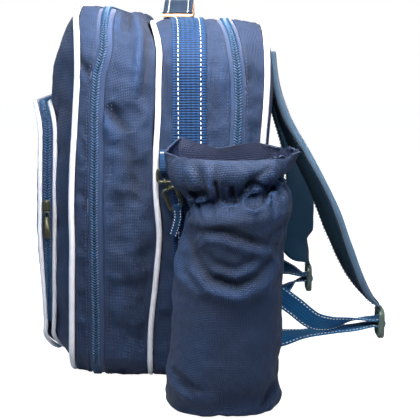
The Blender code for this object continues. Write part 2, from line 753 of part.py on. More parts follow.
def build_lock(name, centre):
    """A ladder lock: an upright frame with a bar across it."""
    frame = boxed(name, (LOCK_WIDTH, LOCK_THICKNESS, LOCK_HEIGHT), centre, PLASTIC)
    slot_height = (LOCK_HEIGHT - 3 * LOCK_RAIL) / 2
    for label, side in (("low", -1), ("high", 1)):
        at = Vector(centre) + Vector((0, 0, side * (LOCK_RAIL + slot_height) / 2))
        cut(frame, boxed(f"{name}_slot_{label}",
                         (LOCK_WIDTH - 2 * LOCK_RAIL, 2 * LOCK_THICKNESS, slot_height), at,
                         PLASTIC))


# The webbing runs from the pack's lower corner through the lock, over its bar and back as the
# free end.
NEAR_LOCK_AT = strap_point(0.2264, 0.3899, 0.1274)
FAR_LOCK_AT = strap_point(-0.2264, 0.2013, 0.1651)
LOOP_RISE = LOCK_RAIL / 2 + LOWER_WEBBING_THICKNESS / 2 + SEAM_GAP
LOOP_OUT = LOCK_THICKNESS / 2 + LOWER_WEBBING_THICKNESS / 2 + SEAM_GAP
LOOP_IN = LOCK_THICKNESS / 2 + 0.0040


def lock_loop(lock, first):
    """The webbing's rows round the lock's bar. It comes in above the bar when first is 1, and
    below it when first is -1."""
    x, y, z = lock
    places = ((-LOOP_IN, first), (LOOP_OUT * 0.8, first), (LOOP_OUT, 0), (LOOP_OUT * 0.8, -first),
              (-LOOP_IN, -first))
    return [{"x": x, "y": y + out, "z": z + side * LOOP_RISE, "roll": 0, "width": 1.0}
            for out, side in places]


WEBBING_COLUMNS = ("x", "behind", "z", "roll", "width")
NEAR_WEBBING = [
    *strap_rows(WEBBING_COLUMNS,
                (0.3082, 0.0204, 0.0943, 80, 1.00),
                (0.3019, 0.0566, 0.0959, 50, 1.00),
                (0.2830, 0.1164, 0.1006, 16, 1.00),
                (0.2642, 0.2107, 0.1085, 6, 1.00),
                (0.2453, 0.3050, 0.1132, 3, 1.00)),
    *lock_loop(NEAR_LOCK_AT, -1),
    *strap_rows(WEBBING_COLUMNS,
                (0.2453, 0.3050, 0.1384, 20, 1.00),
                (0.2893, 0.2201, 0.1384, 62, 1.00),
                (0.3176, 0.1698, 0.1541, 80, 1.00),
                (0.3270, 0.1006, 0.2075, 88, 1.00),
                (0.3270, 0.0472, 0.2484, 88, 1.00)),
]
FAR_WEBBING = [
    *strap_rows(WEBBING_COLUMNS,
                (-0.3082, 0.0230, 0.2075, 80, 1.00),
                (-0.2956, 0.0566, 0.2044, 70, 1.00),
                (-0.2579, 0.1321, 0.1855, 30, 1.00)),
    *lock_loop(FAR_LOCK_AT, 1),
    *strap_rows(WEBBING_COLUMNS,
                (-0.2390, 0.1447, 0.1431, 20, 1.00),
                (-0.2642, 0.1164, 0.1132, 60, 1.00),
                (-0.2767, 0.0881, 0.0818, 84, 1.00),
                (-0.2830, 0.0566, 0.0535, 88, 1.00)),
]


def build_straps():
    ribbon("shoulder_strap_near", NEAR_STRAP, STRAP_CLOTH, STRAP_WIDTH, STRAP_THICKNESS, True)
    ribbon("shoulder_strap_far", FAR_STRAP, STRAP_CLOTH, STRAP_WIDTH, STRAP_THICKNESS, True)
    build_lock("ladder_lock_near", NEAR_LOCK_AT)
    build_lock("ladder_lock_far", FAR_LOCK_AT)
    ribbon("lower_webbing_near", NEAR_WEBBING, WEBBING, LOWER_WEBBING_WIDTH,
           LOWER_WEBBING_THICKNESS)
    ribbon("lower_webbing_far", FAR_WEBBING, WEBBING, LOWER_WEBBING_WIDTH,
           LOWER_WEBBING_THICKNESS)


def outline_x(points, z):
    """Where the +X side of an outline is at the height z."""
    for low, high in zip(points, points[1:]):
        if low[1] <= z <= high[1]:
            return lerp(low[0], high[0], (z - low[1]) / (high[1] - low[1]))
    return 0.0


def side_x(y, z):
    """Where the body's +X side is at (y, z)."""
    stations = [ring for _, fore, aft, _ in BANDS for ring in (fore, aft)]
    for fore, aft in zip(stations, stations[1:]):
        near, far = fore.y_at(z), aft.y_at(z)
        if near <= y <= far:
            return outline_x(ring_between(fore, aft, (y - near) / (far - near)).outline(), z)
    return 0.0


def round_loop(width, height, corner):
    """A closed loop (a, b) of a rounded rectangle."""
    points = []
    for quarter, (a, b) in enumerate(((1, 1), (-1, 1), (-1, -1), (1, -1))):
        for step in range(4):
            angle = math.radians(90 * quarter + 30 * step)
            points.append((a * (width / 2 - corner) + corner * math.cos(angle),
                           b * (height / 2 - corner) + corner * math.sin(angle)))
    return points


def wire_loop(name, path, radius, material):
    """A closed ring of round wire, as a mesh."""
    sections = []
    middle = sum(path, Vector()) / len(path)
    normal = (path[0] - middle).cross(path[len(path) // 4] - middle).normalized()
    for i, point in enumerate(path):
        along = (path[(i + 1) % len(path)] - path[i - 1]).normalized()
        side = along.cross(normal)
        for step in range(WIRE_SIDES):
            angle = 2 * math.pi * step / WIRE_SIDES
            sections.append(point + side * radius * math.cos(angle)
                            + normal * radius * math.sin(angle))
    rows = len(path)
    faces = strip_faces(rows, WIRE_SIDES, True)
    for side in range(WIRE_SIDES):
        follow = (side + 1) % WIRE_SIDES
        last = (rows - 1) * WIRE_SIDES
        faces.append((last + side, last + follow, follow, side))
    return add_mesh(name, sections, faces, material)


def join_into(obj, other):
    """Unites another mesh with obj and drops the other."""
    step = obj.modifiers.new("join", "BOOLEAN")
    step.operation = "UNION"
    step.solver = "EXACT"
    step.object = other
    CUTTERS.objects.link(other)
    PACK.objects.unlink(other)
    other.hide_render = True
    other.display_type = "WIRE"


def hairpin(surface, bend_z, top_z, bend_out, slack):
    """Rows (x, z) of a webbing tab folded round a bar at bend_z: down its outer layer, round the
    bar and up its inner layer, against the surface."""
    reach = RING_WIRE + SEAM_GAP + TAB_THICKNESS / 2
    middle = surface + bend_out
    inner = surface + SEAM_GAP + TAB_THICKNESS / 2
    rows = [(inner + TAB_THICKNESS + slack, top_z)]
    for step in range(7):
        angle = math.radians(-180 * step / 6)
        rows.append((middle + reach * math.cos(angle), bend_z + reach * math.sin(angle)))
    return rows + [(inner, top_z)]


def build_clip():
    """The tab on the pack's side, its ring, the snap hook and the tab on the tote."""
    y = CLIP_AT
    surface = side_x(y + PACK_TAB_WIDTH / 2, PACK_TAB_TOP_AT)
    x = surface + CLIP_OUT
    bar = PACK_TAB_TOP_AT - PACK_TAB_LENGTH
    rows = [{"x": a, "y": y, "z": b} for a, b in
            hairpin(surface, bar, PACK_TAB_TOP_AT, CLIP_OUT, SEAM_GAP)]
    ribbon("pack_tab", rows, WEBBING, PACK_TAB_WIDTH, TAB_THICKNESS, lay=(0, 1, 0))
    ring_foot = bar - RING_HEIGHT
    ring = [Vector((x, y + a, (bar + ring_foot) / 2 + b))
            for a, b in round_loop(RING_WIDTH, RING_HEIGHT, RING_CORNER)]
    wire_loop("clip_ring", ring, RING_WIRE, BRASS)
    eye_at = ring_foot + RING_WIRE + SEAM_GAP / 2 - (EYE_RADIUS - EYE_WIRE)
    eye = [Vector((x + a, y, eye_at + b))
           for a, b in round_loop(2 * EYE_RADIUS, 2 * EYE_RADIUS, EYE_RADIUS * 0.98)]
    hook_top = eye_at - EYE_RADIUS - HOOK_SHANK
    hook = [Vector((x, y + a, hook_top - HOOK_LENGTH / 2 + b))
            for a, b in round_loop(HOOK_WIDTH, HOOK_LENGTH, HOOK_CORNER)]
    body = wire_loop("snap_hook", hook, HOOK_WIRE, BRASS)
    join_into(body, wire_loop("snap_hook_eye", eye, EYE_WIRE, BRASS))
    shank = EYE_WIRE + HOOK_WIRE + HOOK_SHANK
    join_into(body, boxed("snap_hook_shank", (2 * EYE_WIRE, 2 * EYE_WIRE, shank),
                          (x, y, hook_top + HOOK_SHANK / 2), BRASS))
    foot = hook_top - HOOK_LENGTH
    reach = HOOK_WIRE + SEAM_GAP + TAB_THICKNESS / 2
    rows = [{"x": x - reach, "y": y, "z": foot - TAB_THICKNESS * 2}]
    for step in range(7):
        angle = math.radians(180 - 180 * step / 6)
        rows.append({"x": x + reach * math.cos(angle), "y": y, "z": foot + reach * math.sin(angle)})
    rows += [{"x": x + reach + 0.0010, "y": y + 0.0012, "z": foot - 0.008, "roll": 12},
             {"x": x + reach + 0.0030, "y": y + 0.0060, "z": foot - 0.016, "roll": 30},
             {"x": x + reach + 0.0034, "y": y + 0.0130, "z": foot - 0.022, "roll": 40}]
    ribbon("tote_tab", rows, WEBBING, TOTE_TAB_WIDTH, TAB_THICKNESS, lay=(0, 1, 0))


def build_pull(name, x, y, z, side):
    """A zip's slider on its chain, with the pull hanging from it. The side is the zip's X side."""
    slider_x = side * (x + SEAM_GAP + SLIDER_HEIGHT / 2)
    boxed(f"{name}_slider", (SLIDER_HEIGHT, SLIDER_WIDTH, SLIDER_LENGTH), (slider_x, y, z), BRASS)
    low = z - SLIDER_LENGTH / 2 - SEAM_GAP - PULL_LENGTH / 2
    boxed(f"{name}_pull", (PULL_THICKNESS, PULL_WIDTH, PULL_LENGTH), (slider_x, y, low), BRASS)


def build_pulls():
    z = POCKET_PULL_AT
    reach = POCKET_PIPING_RADIUS + SEAM_GAP + pocket_zip_width(z) / 2
    point = pocket_point(outline_x(pocket_outline(), z), z, reach)
    build_pull("pocket_zip", point.x + ZIP_TAPE_THICKNESS / 2 + ZIP_CHAIN_RISE, point.y, z, 1)
    for name, fore, aft in (("front_zip", FRONT_ZIP_FORE, FRONT_ZIP_AFT),
                            ("rear_zip", REAR_ZIP_FORE, REAR_ZIP_AFT)):
        ring = ring_between(fore, aft, 0.5)
        x = outline_x(ring.outline(), BODY_PULL_AT)
        build_pull(name, x + ZIP_CHAIN_RISE, ring.y_at(BODY_PULL_AT), BODY_PULL_AT, -1)


def build_back_tab():
    """One plain tab that holds the tote's back against the pack's side."""
    surface = side_x(BACK_TAB_AT, BACK_TAB_TOP_AT)
    thickness = TOTE_BACK_AT - surface - SEAM_GAP
    boxed("back_tab", (thickness, BACK_TAB_WIDTH, BACK_TAB_LENGTH),
          (surface + SEAM_GAP + thickness / 2, BACK_TAB_AT, BACK_TAB_TOP_AT - BACK_TAB_LENGTH / 2),
          WEBBING)


clear_scene()
PACK = collection_named("picnic_backpack")
CUTTERS = collection_named("cutters")
CLOTH = material_named("navy_cloth", (0.050, 0.075, 0.150), 0.75)
PIPING = material_named("white_piping", (0.75, 0.77, 0.82), 0.45)
ZIP_BLUE = material_named("zip_blue", (0.020, 0.075, 0.160), 0.55)
WEBBING = material_named("blue_webbing", (0.030, 0.110, 0.240), 0.60)
STRAP_CLOTH = material_named("strap_cloth", (0.010, 0.020, 0.045), 0.85)
LEATHER = material_named("tan_leather", (0.420, 0.210, 0.090), 0.55)
BRASS = material_named("dark_brass", (0.180, 0.160, 0.085), 0.35, 0.8)
PLASTIC = material_named("grey_plastic", (0.130, 0.170, 0.150), 0.45)
build_body()
build_pocket()
build_tote()
build_side_webbing("side_webbing_near", 1)
build_side_webbing("side_webbing_far", -1)
build_handle()
build_straps()
build_clip()
build_back_tab()
build_pulls()
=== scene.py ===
import math

import bmesh
import bpy
import numpy as np
from mathutils import Matrix, Vector


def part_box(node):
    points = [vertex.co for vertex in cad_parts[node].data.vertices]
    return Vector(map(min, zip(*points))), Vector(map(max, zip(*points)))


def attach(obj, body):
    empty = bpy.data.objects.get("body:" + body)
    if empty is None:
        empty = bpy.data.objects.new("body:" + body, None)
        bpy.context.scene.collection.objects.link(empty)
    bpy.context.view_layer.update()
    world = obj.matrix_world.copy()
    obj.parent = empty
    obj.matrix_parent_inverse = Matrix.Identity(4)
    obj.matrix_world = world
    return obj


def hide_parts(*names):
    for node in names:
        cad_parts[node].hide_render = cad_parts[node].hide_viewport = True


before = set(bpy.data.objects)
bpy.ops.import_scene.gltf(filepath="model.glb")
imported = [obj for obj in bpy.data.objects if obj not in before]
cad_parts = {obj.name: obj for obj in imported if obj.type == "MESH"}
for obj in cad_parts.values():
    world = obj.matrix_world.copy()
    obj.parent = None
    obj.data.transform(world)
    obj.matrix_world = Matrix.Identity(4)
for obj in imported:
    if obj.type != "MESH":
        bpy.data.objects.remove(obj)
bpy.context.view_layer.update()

# A navy picnic backpack with a bottle tote clipped to its side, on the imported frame.
# Metres: -Y is the pack's outer front, +Y the wearer's back, +X the side with the tote.

scene = bpy.context.scene


def rowsOf(columns, *values):
    # A table from the names of its columns and its rows
    return [dict(zip(columns, row)) for row in values]


def foldsOf(*rows):
    # Creases from rows of (width, depth, points of the line ...), in metres
    return [dict(width=width, depth=depth, line=line) for width, depth, *line in rows]


def lerp(a, b, share):
    return a + (b - a) * share


def eased(share):
    return share * share * (3 - 2 * share)


def runOf(points):
    # The distance along a path to each of its points
    return np.concatenate([[0], np.cumsum(np.linalg.norm(np.diff(points, axis=0), axis=1))])


# Shared sizes of the body, the same as the solids
pack = dict(
    halfWidth=0.140, frontHeight=0.356, rearHeight=0.348, frontDepth=0.071, rearDepth=0.104,
    middleSeam=-0.016, frontLean=0.0145, middleLean=0.005, topRadius=0.055,
    frontFootRadius=0.038, rearFootRadius=0.020, sideBow=0.003, pipingRadius=0.0028,
    seamGap=0.0004, frontLid=0.0170, rearLid=0.0290, rearZipLean=0.0120, zipTape=0.0150)
frontSections = rowsOf(
    ("at", "width", "height"), (0.00, 0.980, 0.974), (0.25, 1.004, 0.988), (0.60, 1.006, 1.006),
    (1.00, 0.972, 1.014))
rearSections = rowsOf(
    ("at", "width", "height", "foot"), (0.00, 0.980, 0.996, 1.00), (0.20, 1.006, 1.003, 1.00),
    (0.65, 1.004, 1.002, 1.05), (1.00, 0.968, 0.990, 1.15))

# How far each seam wanders from its straight line, in metres, by height
seamDrift = rowsOf(
    ("z", "front", "frontZip", "middle", "rearZip", "rear"), (0.000, 0.0010, 0.0015, -0.0020, 0.000, 0.000),
    (0.052, 0.0005, 0.0010, -0.0017, 0.000, 0.000), (0.102, -0.0003, -0.0008, 0.0030, 0.000, 0.000),
    (0.146, -0.0009, -0.0022, 0.0064, 0.001, 0.000), (0.190, -0.0014, -0.0034, 0.0026, 0.003, -0.002),
    (0.227, -0.0009, -0.0037, 0.0022, 0.005, -0.003), (0.274, 0.0003, -0.0045, 0.0043, 0.008, 0.000),
    (0.297, 0.0008, -0.0031, 0.0046, 0.008, 0.001), (0.320, 0.0000, 0.0020, 0.0044, 0.006, 0.001),
    (0.336, -0.0016, 0.0013, 0.0006, 0.003, 0.000), (0.350, -0.0040, 0.0010, -0.0062, -0.003, -0.003))

# How far the crown stands above the plain sections, from the front seam at -Y to the rear
crownLift = rowsOf(
    ("y", "lift"), (-0.096, 0.0010), (-0.075, 0.0012), (-0.058, 0.0008), (-0.046, -0.0022),
    (-0.035, 0.0030), (-0.027, 0.0026), (-0.018, -0.0006), (0.000, 0.0))


def easedValue(table, key, at, column):
    if at <= table[0][key]:
        return table[0][column]
    for low, high in zip(table, table[1:]):
        if at <= high[key]:
            share = (at - low[key]) / (high[key] - low[key])
            return lerp(low[column], high[column], eased(share))
    return table[-1][column]


def tableCurve(table, key, column, at):
    # Catmull-Rom through one column of a table, for an array of keys
    keys = np.array([row[key] for row in table], float)
    values = np.array([row[column] for row in table], float)
    at = np.clip(np.asarray(at, float), keys[0], keys[-1])
    i = np.clip(np.searchsorted(keys, at, side="right") - 1, 0, len(keys) - 2)
    t = (at - keys[i]) / (keys[i + 1] - keys[i])
    slopes = np.gradient(values, keys)
    span = keys[i + 1] - keys[i]
    return ((2 * t**3 - 3 * t**2 + 1) * values[i] + (t**3 - 2 * t**2 + t) * slopes[i] * span
            + (-2 * t**3 + 3 * t**2) * values[i + 1] + (t**3 - t**2) * slopes[i + 1] * span)


def makeRing(yTop, yFoot):
    front = yTop < pack["middleSeam"]
    depth = pack["frontDepth"] if front else pack["rearDepth"]
    share = abs(yTop - pack["middleSeam"]) / depth
    sections = frontSections if front else rearSections
    height = pack["frontHeight"] if front else pack["rearHeight"]
    if front:
        foot = lerp(pack["rearFootRadius"], pack["frontFootRadius"], share)
    else:
        foot = pack["rearFootRadius"] * easedValue(sections, "at", share, "foot")
    return dict(yTop=yTop, yFoot=yFoot, height=height, foot=foot,
                half=pack["halfWidth"] * easedValue(sections, "at", share, "width"),
                top=height * easedValue(sections, "at", share, "height"))


def ringBetween(a, b, share):
    return makeRing(lerp(a["yTop"], b["yTop"], share), lerp(a["yFoot"], b["yFoot"], share))


def ringBeside(ring, step):
    return makeRing(ring["yTop"] + step, ring["yFoot"] + step)


middleSeam = makeRing(pack["middleSeam"], pack["middleSeam"] - pack["middleLean"])
frontSeam = makeRing(pack["middleSeam"] - pack["frontDepth"],
                     pack["middleSeam"] - pack["frontDepth"] - pack["frontLean"])
rearSeam = makeRing(pack["middleSeam"] + pack["rearDepth"], pack["middleSeam"] + pack["rearDepth"])
frontZipFore = ringBeside(frontSeam, pack["frontLid"])
frontZipAft = ringBeside(frontZipFore, pack["zipTape"])
rearZipAft = makeRing(rearSeam["yTop"] - pack["rearLid"],
                      rearSeam["yFoot"] - pack["rearLid"] + pack["rearZipLean"])
rearZipFore = ringBeside(rearZipAft, -pack["zipTape"])
seamRoom = pack["pipingRadius"] + pack["seamGap"]


def driftOf(y, z):
    # The seams' wander at any place on the body, blended between the seams
    y, z = np.asarray(y, float), np.asarray(z, float)
    share = np.clip(z / pack["frontHeight"], 0, 1)
    seams = [("front", frontSeam), ("frontZip", ringBeside(frontZipFore, pack["zipTape"] / 2)),
             ("middle", middleSeam), ("rearZip", ringBeside(rearZipFore, pack["zipTape"] / 2)),
             ("rear", rearSeam)]
    places = np.stack([lerp(ring["yFoot"], ring["yTop"], share) for _, ring in seams])
    moves = np.stack([tableCurve(seamDrift, "z", name, z) for name, _ in seams])
    result = moves[0].copy()
    for i in range(len(seams) - 1):
        inside = (y > places[i]) & (y <= places[i + 1])
        t = eased((y - places[i]) / (places[i + 1] - places[i]))
        result = np.where(inside, lerp(moves[i], moves[i + 1], t), result)
    return np.where(y > places[-1], moves[-1], result)


def outlinePath(half, top, foot, topRadius, footRadius, closed=False, spacing=0.0036):
    # Points (x, z) of a round-cornered upright shape from its foot at +X over the top to -X
    right = []
    steps = max(int(math.pi / 2 * footRadius / spacing), 4)
    for step in range(steps + 1):
        angle = math.radians(-90 + 90 * step / steps)
        right.append((half - footRadius + footRadius * math.cos(angle),
                      foot + footRadius + footRadius * math.sin(angle)))
    low, high = foot + footRadius, top - topRadius
    steps = max(int((high - low) / spacing), 6)
    for step in range(1, steps):
        share = step / steps
        right.append((half + pack["sideBow"] * math.sin(math.pi * share), lerp(low, high, share)))
    steps = max(int(math.pi / 2 * topRadius / spacing), 4)
    for step in range(steps + 1):
        angle = math.radians(90 * step / steps)
        right.append((half - topRadius + topRadius * math.cos(angle),
                      high + topRadius * math.sin(angle)))
    steps = max(int((half - topRadius) / spacing), 3)
    for step in range(1, steps):
        right.append(((half - topRadius) * (1 - step / steps), top))
    points = right + [(0.0, top)] + [(-x, z) for x, z in reversed(right)]
    if closed:
        edge = half - footRadius
        steps = max(int(2 * edge / spacing), 3)
        points += [(-edge * (1 - 2 * step / steps), foot) for step in range(1, steps)]
    return np.array(points)


def evenPath(points, count, closed=False):
    # The same path cut into equal steps
    if closed:
        points = np.vstack([points, points[:1]])
    along = runOf(points)
    at = np.linspace(0, along[-1], count + 1 if closed else count)
    if closed:
        at = at[:-1]
    return np.stack([np.interp(at, along, points[:, k]) for k in range(points.shape[1])], axis=1), along[-1]


def pathNormals(points, closed=False):
    # Outward (x, z) directions of an outline that runs from +X over the top to -X
    if closed:
        along = np.roll(points, -1, axis=0) - np.roll(points, 1, axis=0)
    else:
        along = np.gradient(points, axis=0)
    along /= np.linalg.norm(along, axis=1)[:, None]
    return np.stack([along[:, 1], -along[:, 0]], axis=1)


def raiseCrown(y, z):
    # The height of a body point once the crown's own ups and downs are added
    share = np.clip((z - 0.285) / 0.065, 0, 1)
    return z + tableCurve(crownLift, "y", "lift", y) * share * share * (3 - 2 * share)


def ringPoints(ring, count, lift=0.0, foot=0.0, closed=False):
    # Points (x, y, z) of a body ring, lifted off the cloth, with the seams' wander
    path = outlinePath(ring["half"], ring["top"], foot, pack["topRadius"],
                       max(ring["foot"], 0.004), closed)
    path, length = evenPath(path, count, closed)
    normals = pathNormals(path, closed)
    x, z = (path + normals * lift).T
    z = np.maximum(z, foot if foot else 0.0)
    y = lerp(ring["yFoot"], ring["yTop"], path[:, 1] / ring["height"])
    return np.stack([x, y + driftOf(y, path[:, 1]), raiseCrown(y, z)], axis=1), length


# Noise that is the same each run
noisePrimes = (374761393, 668265263, 2147483647)


def smoothNoise(points, scale, seed):
    # Value noise of 3-D points, from -1 to 1
    p = np.asarray(points, float) * scale + seed * 17.13
    base = np.floor(p).astype(np.int64)
    part = eased(p - base)

    def corner(dx, dy, dz):
        n = sum((base[..., k] + step) * prime for k, (step, prime) in enumerate(zip((dx, dy, dz), noisePrimes)))
        n = (n ^ (n >> 13)) * 1274126177
        n = n ^ (n >> 16)
        return (n & 0xFFFF) / 32767.5 - 1.0

    total = 0.0
    for dx in (0, 1):
        wx = part[..., 0] if dx else 1 - part[..., 0]
        for dy in (0, 1):
            wy = part[..., 1] if dy else 1 - part[..., 1]
            for dz in (0, 1):
                wz = part[..., 2] if dz else 1 - part[..., 2]
                total = total + wx * wy * wz * corner(dx, dy, dz)
    return total


def creaseDepth(a, b, creases):
    # Depth of folds drawn as lines (a, b) on a surface: a valley with a lit lip beside it
    depth = np.zeros_like(a)
    for fold in creases:
        line = np.array(fold["line"], float)
        best = np.full(a.shape, 1e9)
        taper = np.zeros_like(a)
        side = np.zeros_like(a)
        lengths = np.linalg.norm(np.diff(line, axis=0), axis=1)
        total, run = lengths.sum(), 0.0
        for (pa, pb), (qa, qb), length in zip(line, line[1:], lengths):
            da, db = (qa - pa) / length, (qb - pb) / length
            t = np.clip((a - pa) * da + (b - pb) * db, 0, length)
            away = np.hypot(a - pa - da * t, b - pb - db * t)
            closer = away < best
            best = np.where(closer, away, best)
            taper = np.where(closer, np.sin(np.pi * np.clip((run + t) / total, 0, 1)), taper)
            side = np.where(closer, np.sign((a - pa) * db - (b - pb) * da), side)
            run += length
        wide = fold["width"]
        valley = np.exp(-(best / wide) ** 2)
        lip = np.exp(-((best - 1.9 * wide) / (1.1 * wide)) ** 2) * (0.5 + 0.5 * side)
        depth += fold["depth"] * np.sqrt(np.maximum(taper, 0)) * (0.75 * lip - valley)
    return depth


# Meshes
def linkPiece(name, mesh):
    piece = bpy.data.objects.new(name, mesh)
    scene.collection.objects.link(piece)
    return piece


def gridPiece(name, grid, uv, closed=False, flip=False):
    # grid is rows x columns x 3. A closed grid joins its last column to its first, and uv has one more column.
    rows, columns = grid.shape[:2]
    faces, corners = [], []
    for r in range(rows - 1):
        for c in range(columns if closed else columns - 1):
            n = (c + 1) % columns
            faces.append((r * columns + c, r * columns + n, (r + 1) * columns + n, (r + 1) * columns + c))
            corners.append((uv[r, c], uv[r, c + 1], uv[r + 1, c + 1], uv[r + 1, c]))
    if flip:
        faces = [face[::-1] for face in faces]
        corners = [corner[::-1] for corner in corners]
    mesh = bpy.data.meshes.new(name)
    mesh.from_pydata(grid.reshape(-1, 3).tolist(), [], faces)
    layer = mesh.uv_layers.new(name="UVMap")
    layer.data.foreach_set("uv", np.array(corners, np.float32).ravel())
    mesh.polygons.foreach_set("use_smooth", [True] * len(faces))
    mesh.update()
    return linkPiece(name, mesh)


def stripUv(grid, length, width):
    # Metres along and across a strip
    uv = np.zeros((*grid.shape[:2], 2))
    uv[..., 0] = np.linspace(0, length, grid.shape[1])
    uv[..., 1] = np.linspace(0, width, grid.shape[0])[:, None]
    return uv


def coordsOf(piece, field="co"):
    found = np.empty(len(piece.data.vertices) * 3, np.float32)
    piece.data.vertices.foreach_get(field, found)
    return found.reshape(-1, 3).astype(float)


def vertexNormals(piece):
    return coordsOf(piece, "normal")


def setCoords(piece, points):
    piece.data.vertices.foreach_set("co", np.asarray(points, np.float32).ravel())
    piece.data.update()


def bake(piece):
    # Makes the evaluated shape the piece's own mesh and drops its modifiers
    depsgraph = bpy.context.evaluated_depsgraph_get()
    mesh = bpy.data.meshes.new_from_object(piece.evaluated_get(depsgraph))
    mesh.name = piece.name
    if piece.type == "CURVE":
        name = piece.name
        bpy.data.objects.remove(piece)
        piece = linkPiece(name, mesh)
        piece.name = name
    else:
        piece.modifiers.clear()
        piece.data = mesh
    mesh.polygons.foreach_set("use_smooth", [True] * len(mesh.polygons))
    return piece


def refine(piece, levels=1):
    modifier = piece.modifiers.new("refine", "SUBSURF")
    modifier.levels = modifier.render_levels = levels
    return bake(piece)


def giveWall(piece, thickness, insideSlot=0):
    # Thickens a surface inwards, and gives its inside another of its materials
    modifier = piece.modifiers.new("wall", "SOLIDIFY")
    modifier.thickness, modifier.offset, modifier.material_offset = thickness, -1, insideSlot
    return bake(piece)


def relaxCloth(piece, pinned, grow, pressure, reach, stiffness=12, bending=0.4, frames=20):
    # Lets the cloth settle between its seams, and keeps each point within reach of where it began
    start = coordsOf(piece)
    group = piece.vertex_groups.new(name="seam")
    group.add([int(i) for i in np.flatnonzero(pinned)], 1.0, "REPLACE")
    modifier = piece.modifiers.new("cloth", "CLOTH")
    cloth = modifier.settings
    cloth.quality = 6
    cloth.mass = 0.15
    cloth.tension_stiffness = cloth.compression_stiffness = stiffness
    cloth.shear_stiffness = stiffness / 3
    cloth.bending_stiffness = bending
    cloth.vertex_group_mass = "seam"
    cloth.shrink_min = cloth.shrink_max = -grow
    cloth.use_pressure = True
    cloth.uniform_pressure_force = pressure
    cloth.effector_weights.gravity = 0
    modifier.collision_settings.use_collision = False
    modifier.point_cache.frame_start, modifier.point_cache.frame_end = 1, frames
    for number in range(1, frames + 1):
        scene.frame_set(number)
    moved = coordsOf(piece.evaluated_get(bpy.context.evaluated_depsgraph_get())) - start
    piece.modifiers.remove(modifier)
    piece.vertex_groups.remove(group)
    scene.frame_set(1)
    far = np.linalg.norm(moved, axis=1)
    moved *= (np.tanh(far / reach) * reach / np.maximum(far, 1e-9))[:, None]
    setCoords(piece, start + moved)


def paintFoldShade(piece, push, scale=0.004):
    # Valleys and ridges, from -1 to 1, as painted shade in the valleys and painted highlight on the ridges of
    # the cloth's colour
    layer = piece.data.attributes.new("fold", "FLOAT", "POINT")
    layer.data.foreach_set("value", np.clip(push / scale, -1, 1).astype(np.float32))


def finishPiece(piece, materials, nodes=()):
    chosen = np.zeros(len(piece.data.polygons), np.int32)
    piece.data.polygons.foreach_get("material_index", chosen)
    piece.data.materials.clear()
    for material in materials if isinstance(materials, list) else [materials]:
        piece.data.materials.append(material)
    piece.data.polygons.foreach_set("material_index", chosen)
    found = coordsOf(piece)
    if found[:, 2].min() < 0.0001:
        found[:, 2] = np.maximum(found[:, 2], 0.0001)
        setCoords(piece, found)
    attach(piece, "root")
    if nodes:
        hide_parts(*nodes)
    return piece


# Shader groups and materials
def fromSrgb(red, green, blue):
    return tuple(((c / 255 + 0.055) / 1.055) ** 2.4 if c > 10 else c / 255 / 12.92 for c in (red, green, blue))


def newGroup(name, inputs, outputs):
    group = bpy.data.node_groups.new(name, "ShaderNodeTree")
    for label, kind, value in inputs:
        socket = group.interface.new_socket(label, in_out="INPUT", socket_type=kind)
        if value is not None:
            socket.default_value = value
    for label, kind in outputs:
        group.interface.new_socket(label, in_out="OUTPUT", socket_type=kind)
    return group, group.nodes.new("NodeGroupInput"), group.nodes.new("NodeGroupOutput")


def mathNode(tree, operation, first, second=None, third=None, clamp=False):
    node = tree.nodes.new("ShaderNodeMath")
    node.operation = operation
    node.use_clamp = clamp
    for slot, value in enumerate((first, second, third)):
        if value is None:
            continue
        if isinstance(value, (int, float)):
            node.inputs[slot].default_value = value
        else:
            tree.links.new(value, node.inputs[slot])
    return node.outputs[0]


def buildWeaveGroup():
    # Plain weave of thick threads: which thread is on top, and how high it stands
    group, start, end = newGroup(
        "oxfordWeave", [("Pitch", "NodeSocketFloat", 0.0018), ("Vector", "NodeSocketVector", None)],
        [("Height", "NodeSocketFloat"), ("Over", "NodeSocketFloat")])
    split = group.nodes.new("ShaderNodeSeparateXYZ")
    group.links.new(start.outputs["Vector"], split.inputs[0])
    waves = []
    for axis in (0, 1):
        turns = mathNode(group, "DIVIDE", split.outputs[axis], start.outputs["Pitch"])
        waves.append(mathNode(group, "SINE", mathNode(group, "MULTIPLY", turns, math.pi)))
    product = mathNode(group, "MULTIPLY", waves[0], waves[1])
    height = mathNode(group, "POWER", mathNode(group, "ABSOLUTE", product), 0.6)
    group.links.new(height, end.inputs["Height"])
    group.links.new(mathNode(group, "MULTIPLY_ADD", product, 0.5, 0.5), end.inputs["Over"])
    return group


def buildToneGroup():
    # Slow drifts of tone, as cloth has from handling, and fine fibre noise
    group, start, end = newGroup(
        "clothTone", [("Patch Size", "NodeSocketFloat", 0.05), ("Fibre Size", "NodeSocketFloat", 0.002),
                      ("Patchiness", "NodeSocketFloat", 0.25), ("Fibre", "NodeSocketFloat", 0.25)],
        [("Tone", "NodeSocketFloat")])
    place = group.nodes.new("ShaderNodeTexCoord")
    parts = []
    for size, amount, detail in (("Patch Size", "Patchiness", 3), ("Fibre Size", "Fibre", 1)):
        noise = group.nodes.new("ShaderNodeTexNoise")
        noise.inputs["Detail"].default_value = detail
        group.links.new(place.outputs["Object"], noise.inputs["Vector"])
        group.links.new(mathNode(group, "DIVIDE", 1.0, start.outputs[size]), noise.inputs["Scale"])
        centred = mathNode(group, "SUBTRACT", noise.outputs["Fac"], 0.5)
        parts.append(mathNode(group, "MULTIPLY", centred, start.outputs[amount]))
    tone = mathNode(group, "ADD", mathNode(group, "ADD", parts[0], parts[1]), 0.5)
    group.links.new(tone, end.inputs["Tone"])
    return group


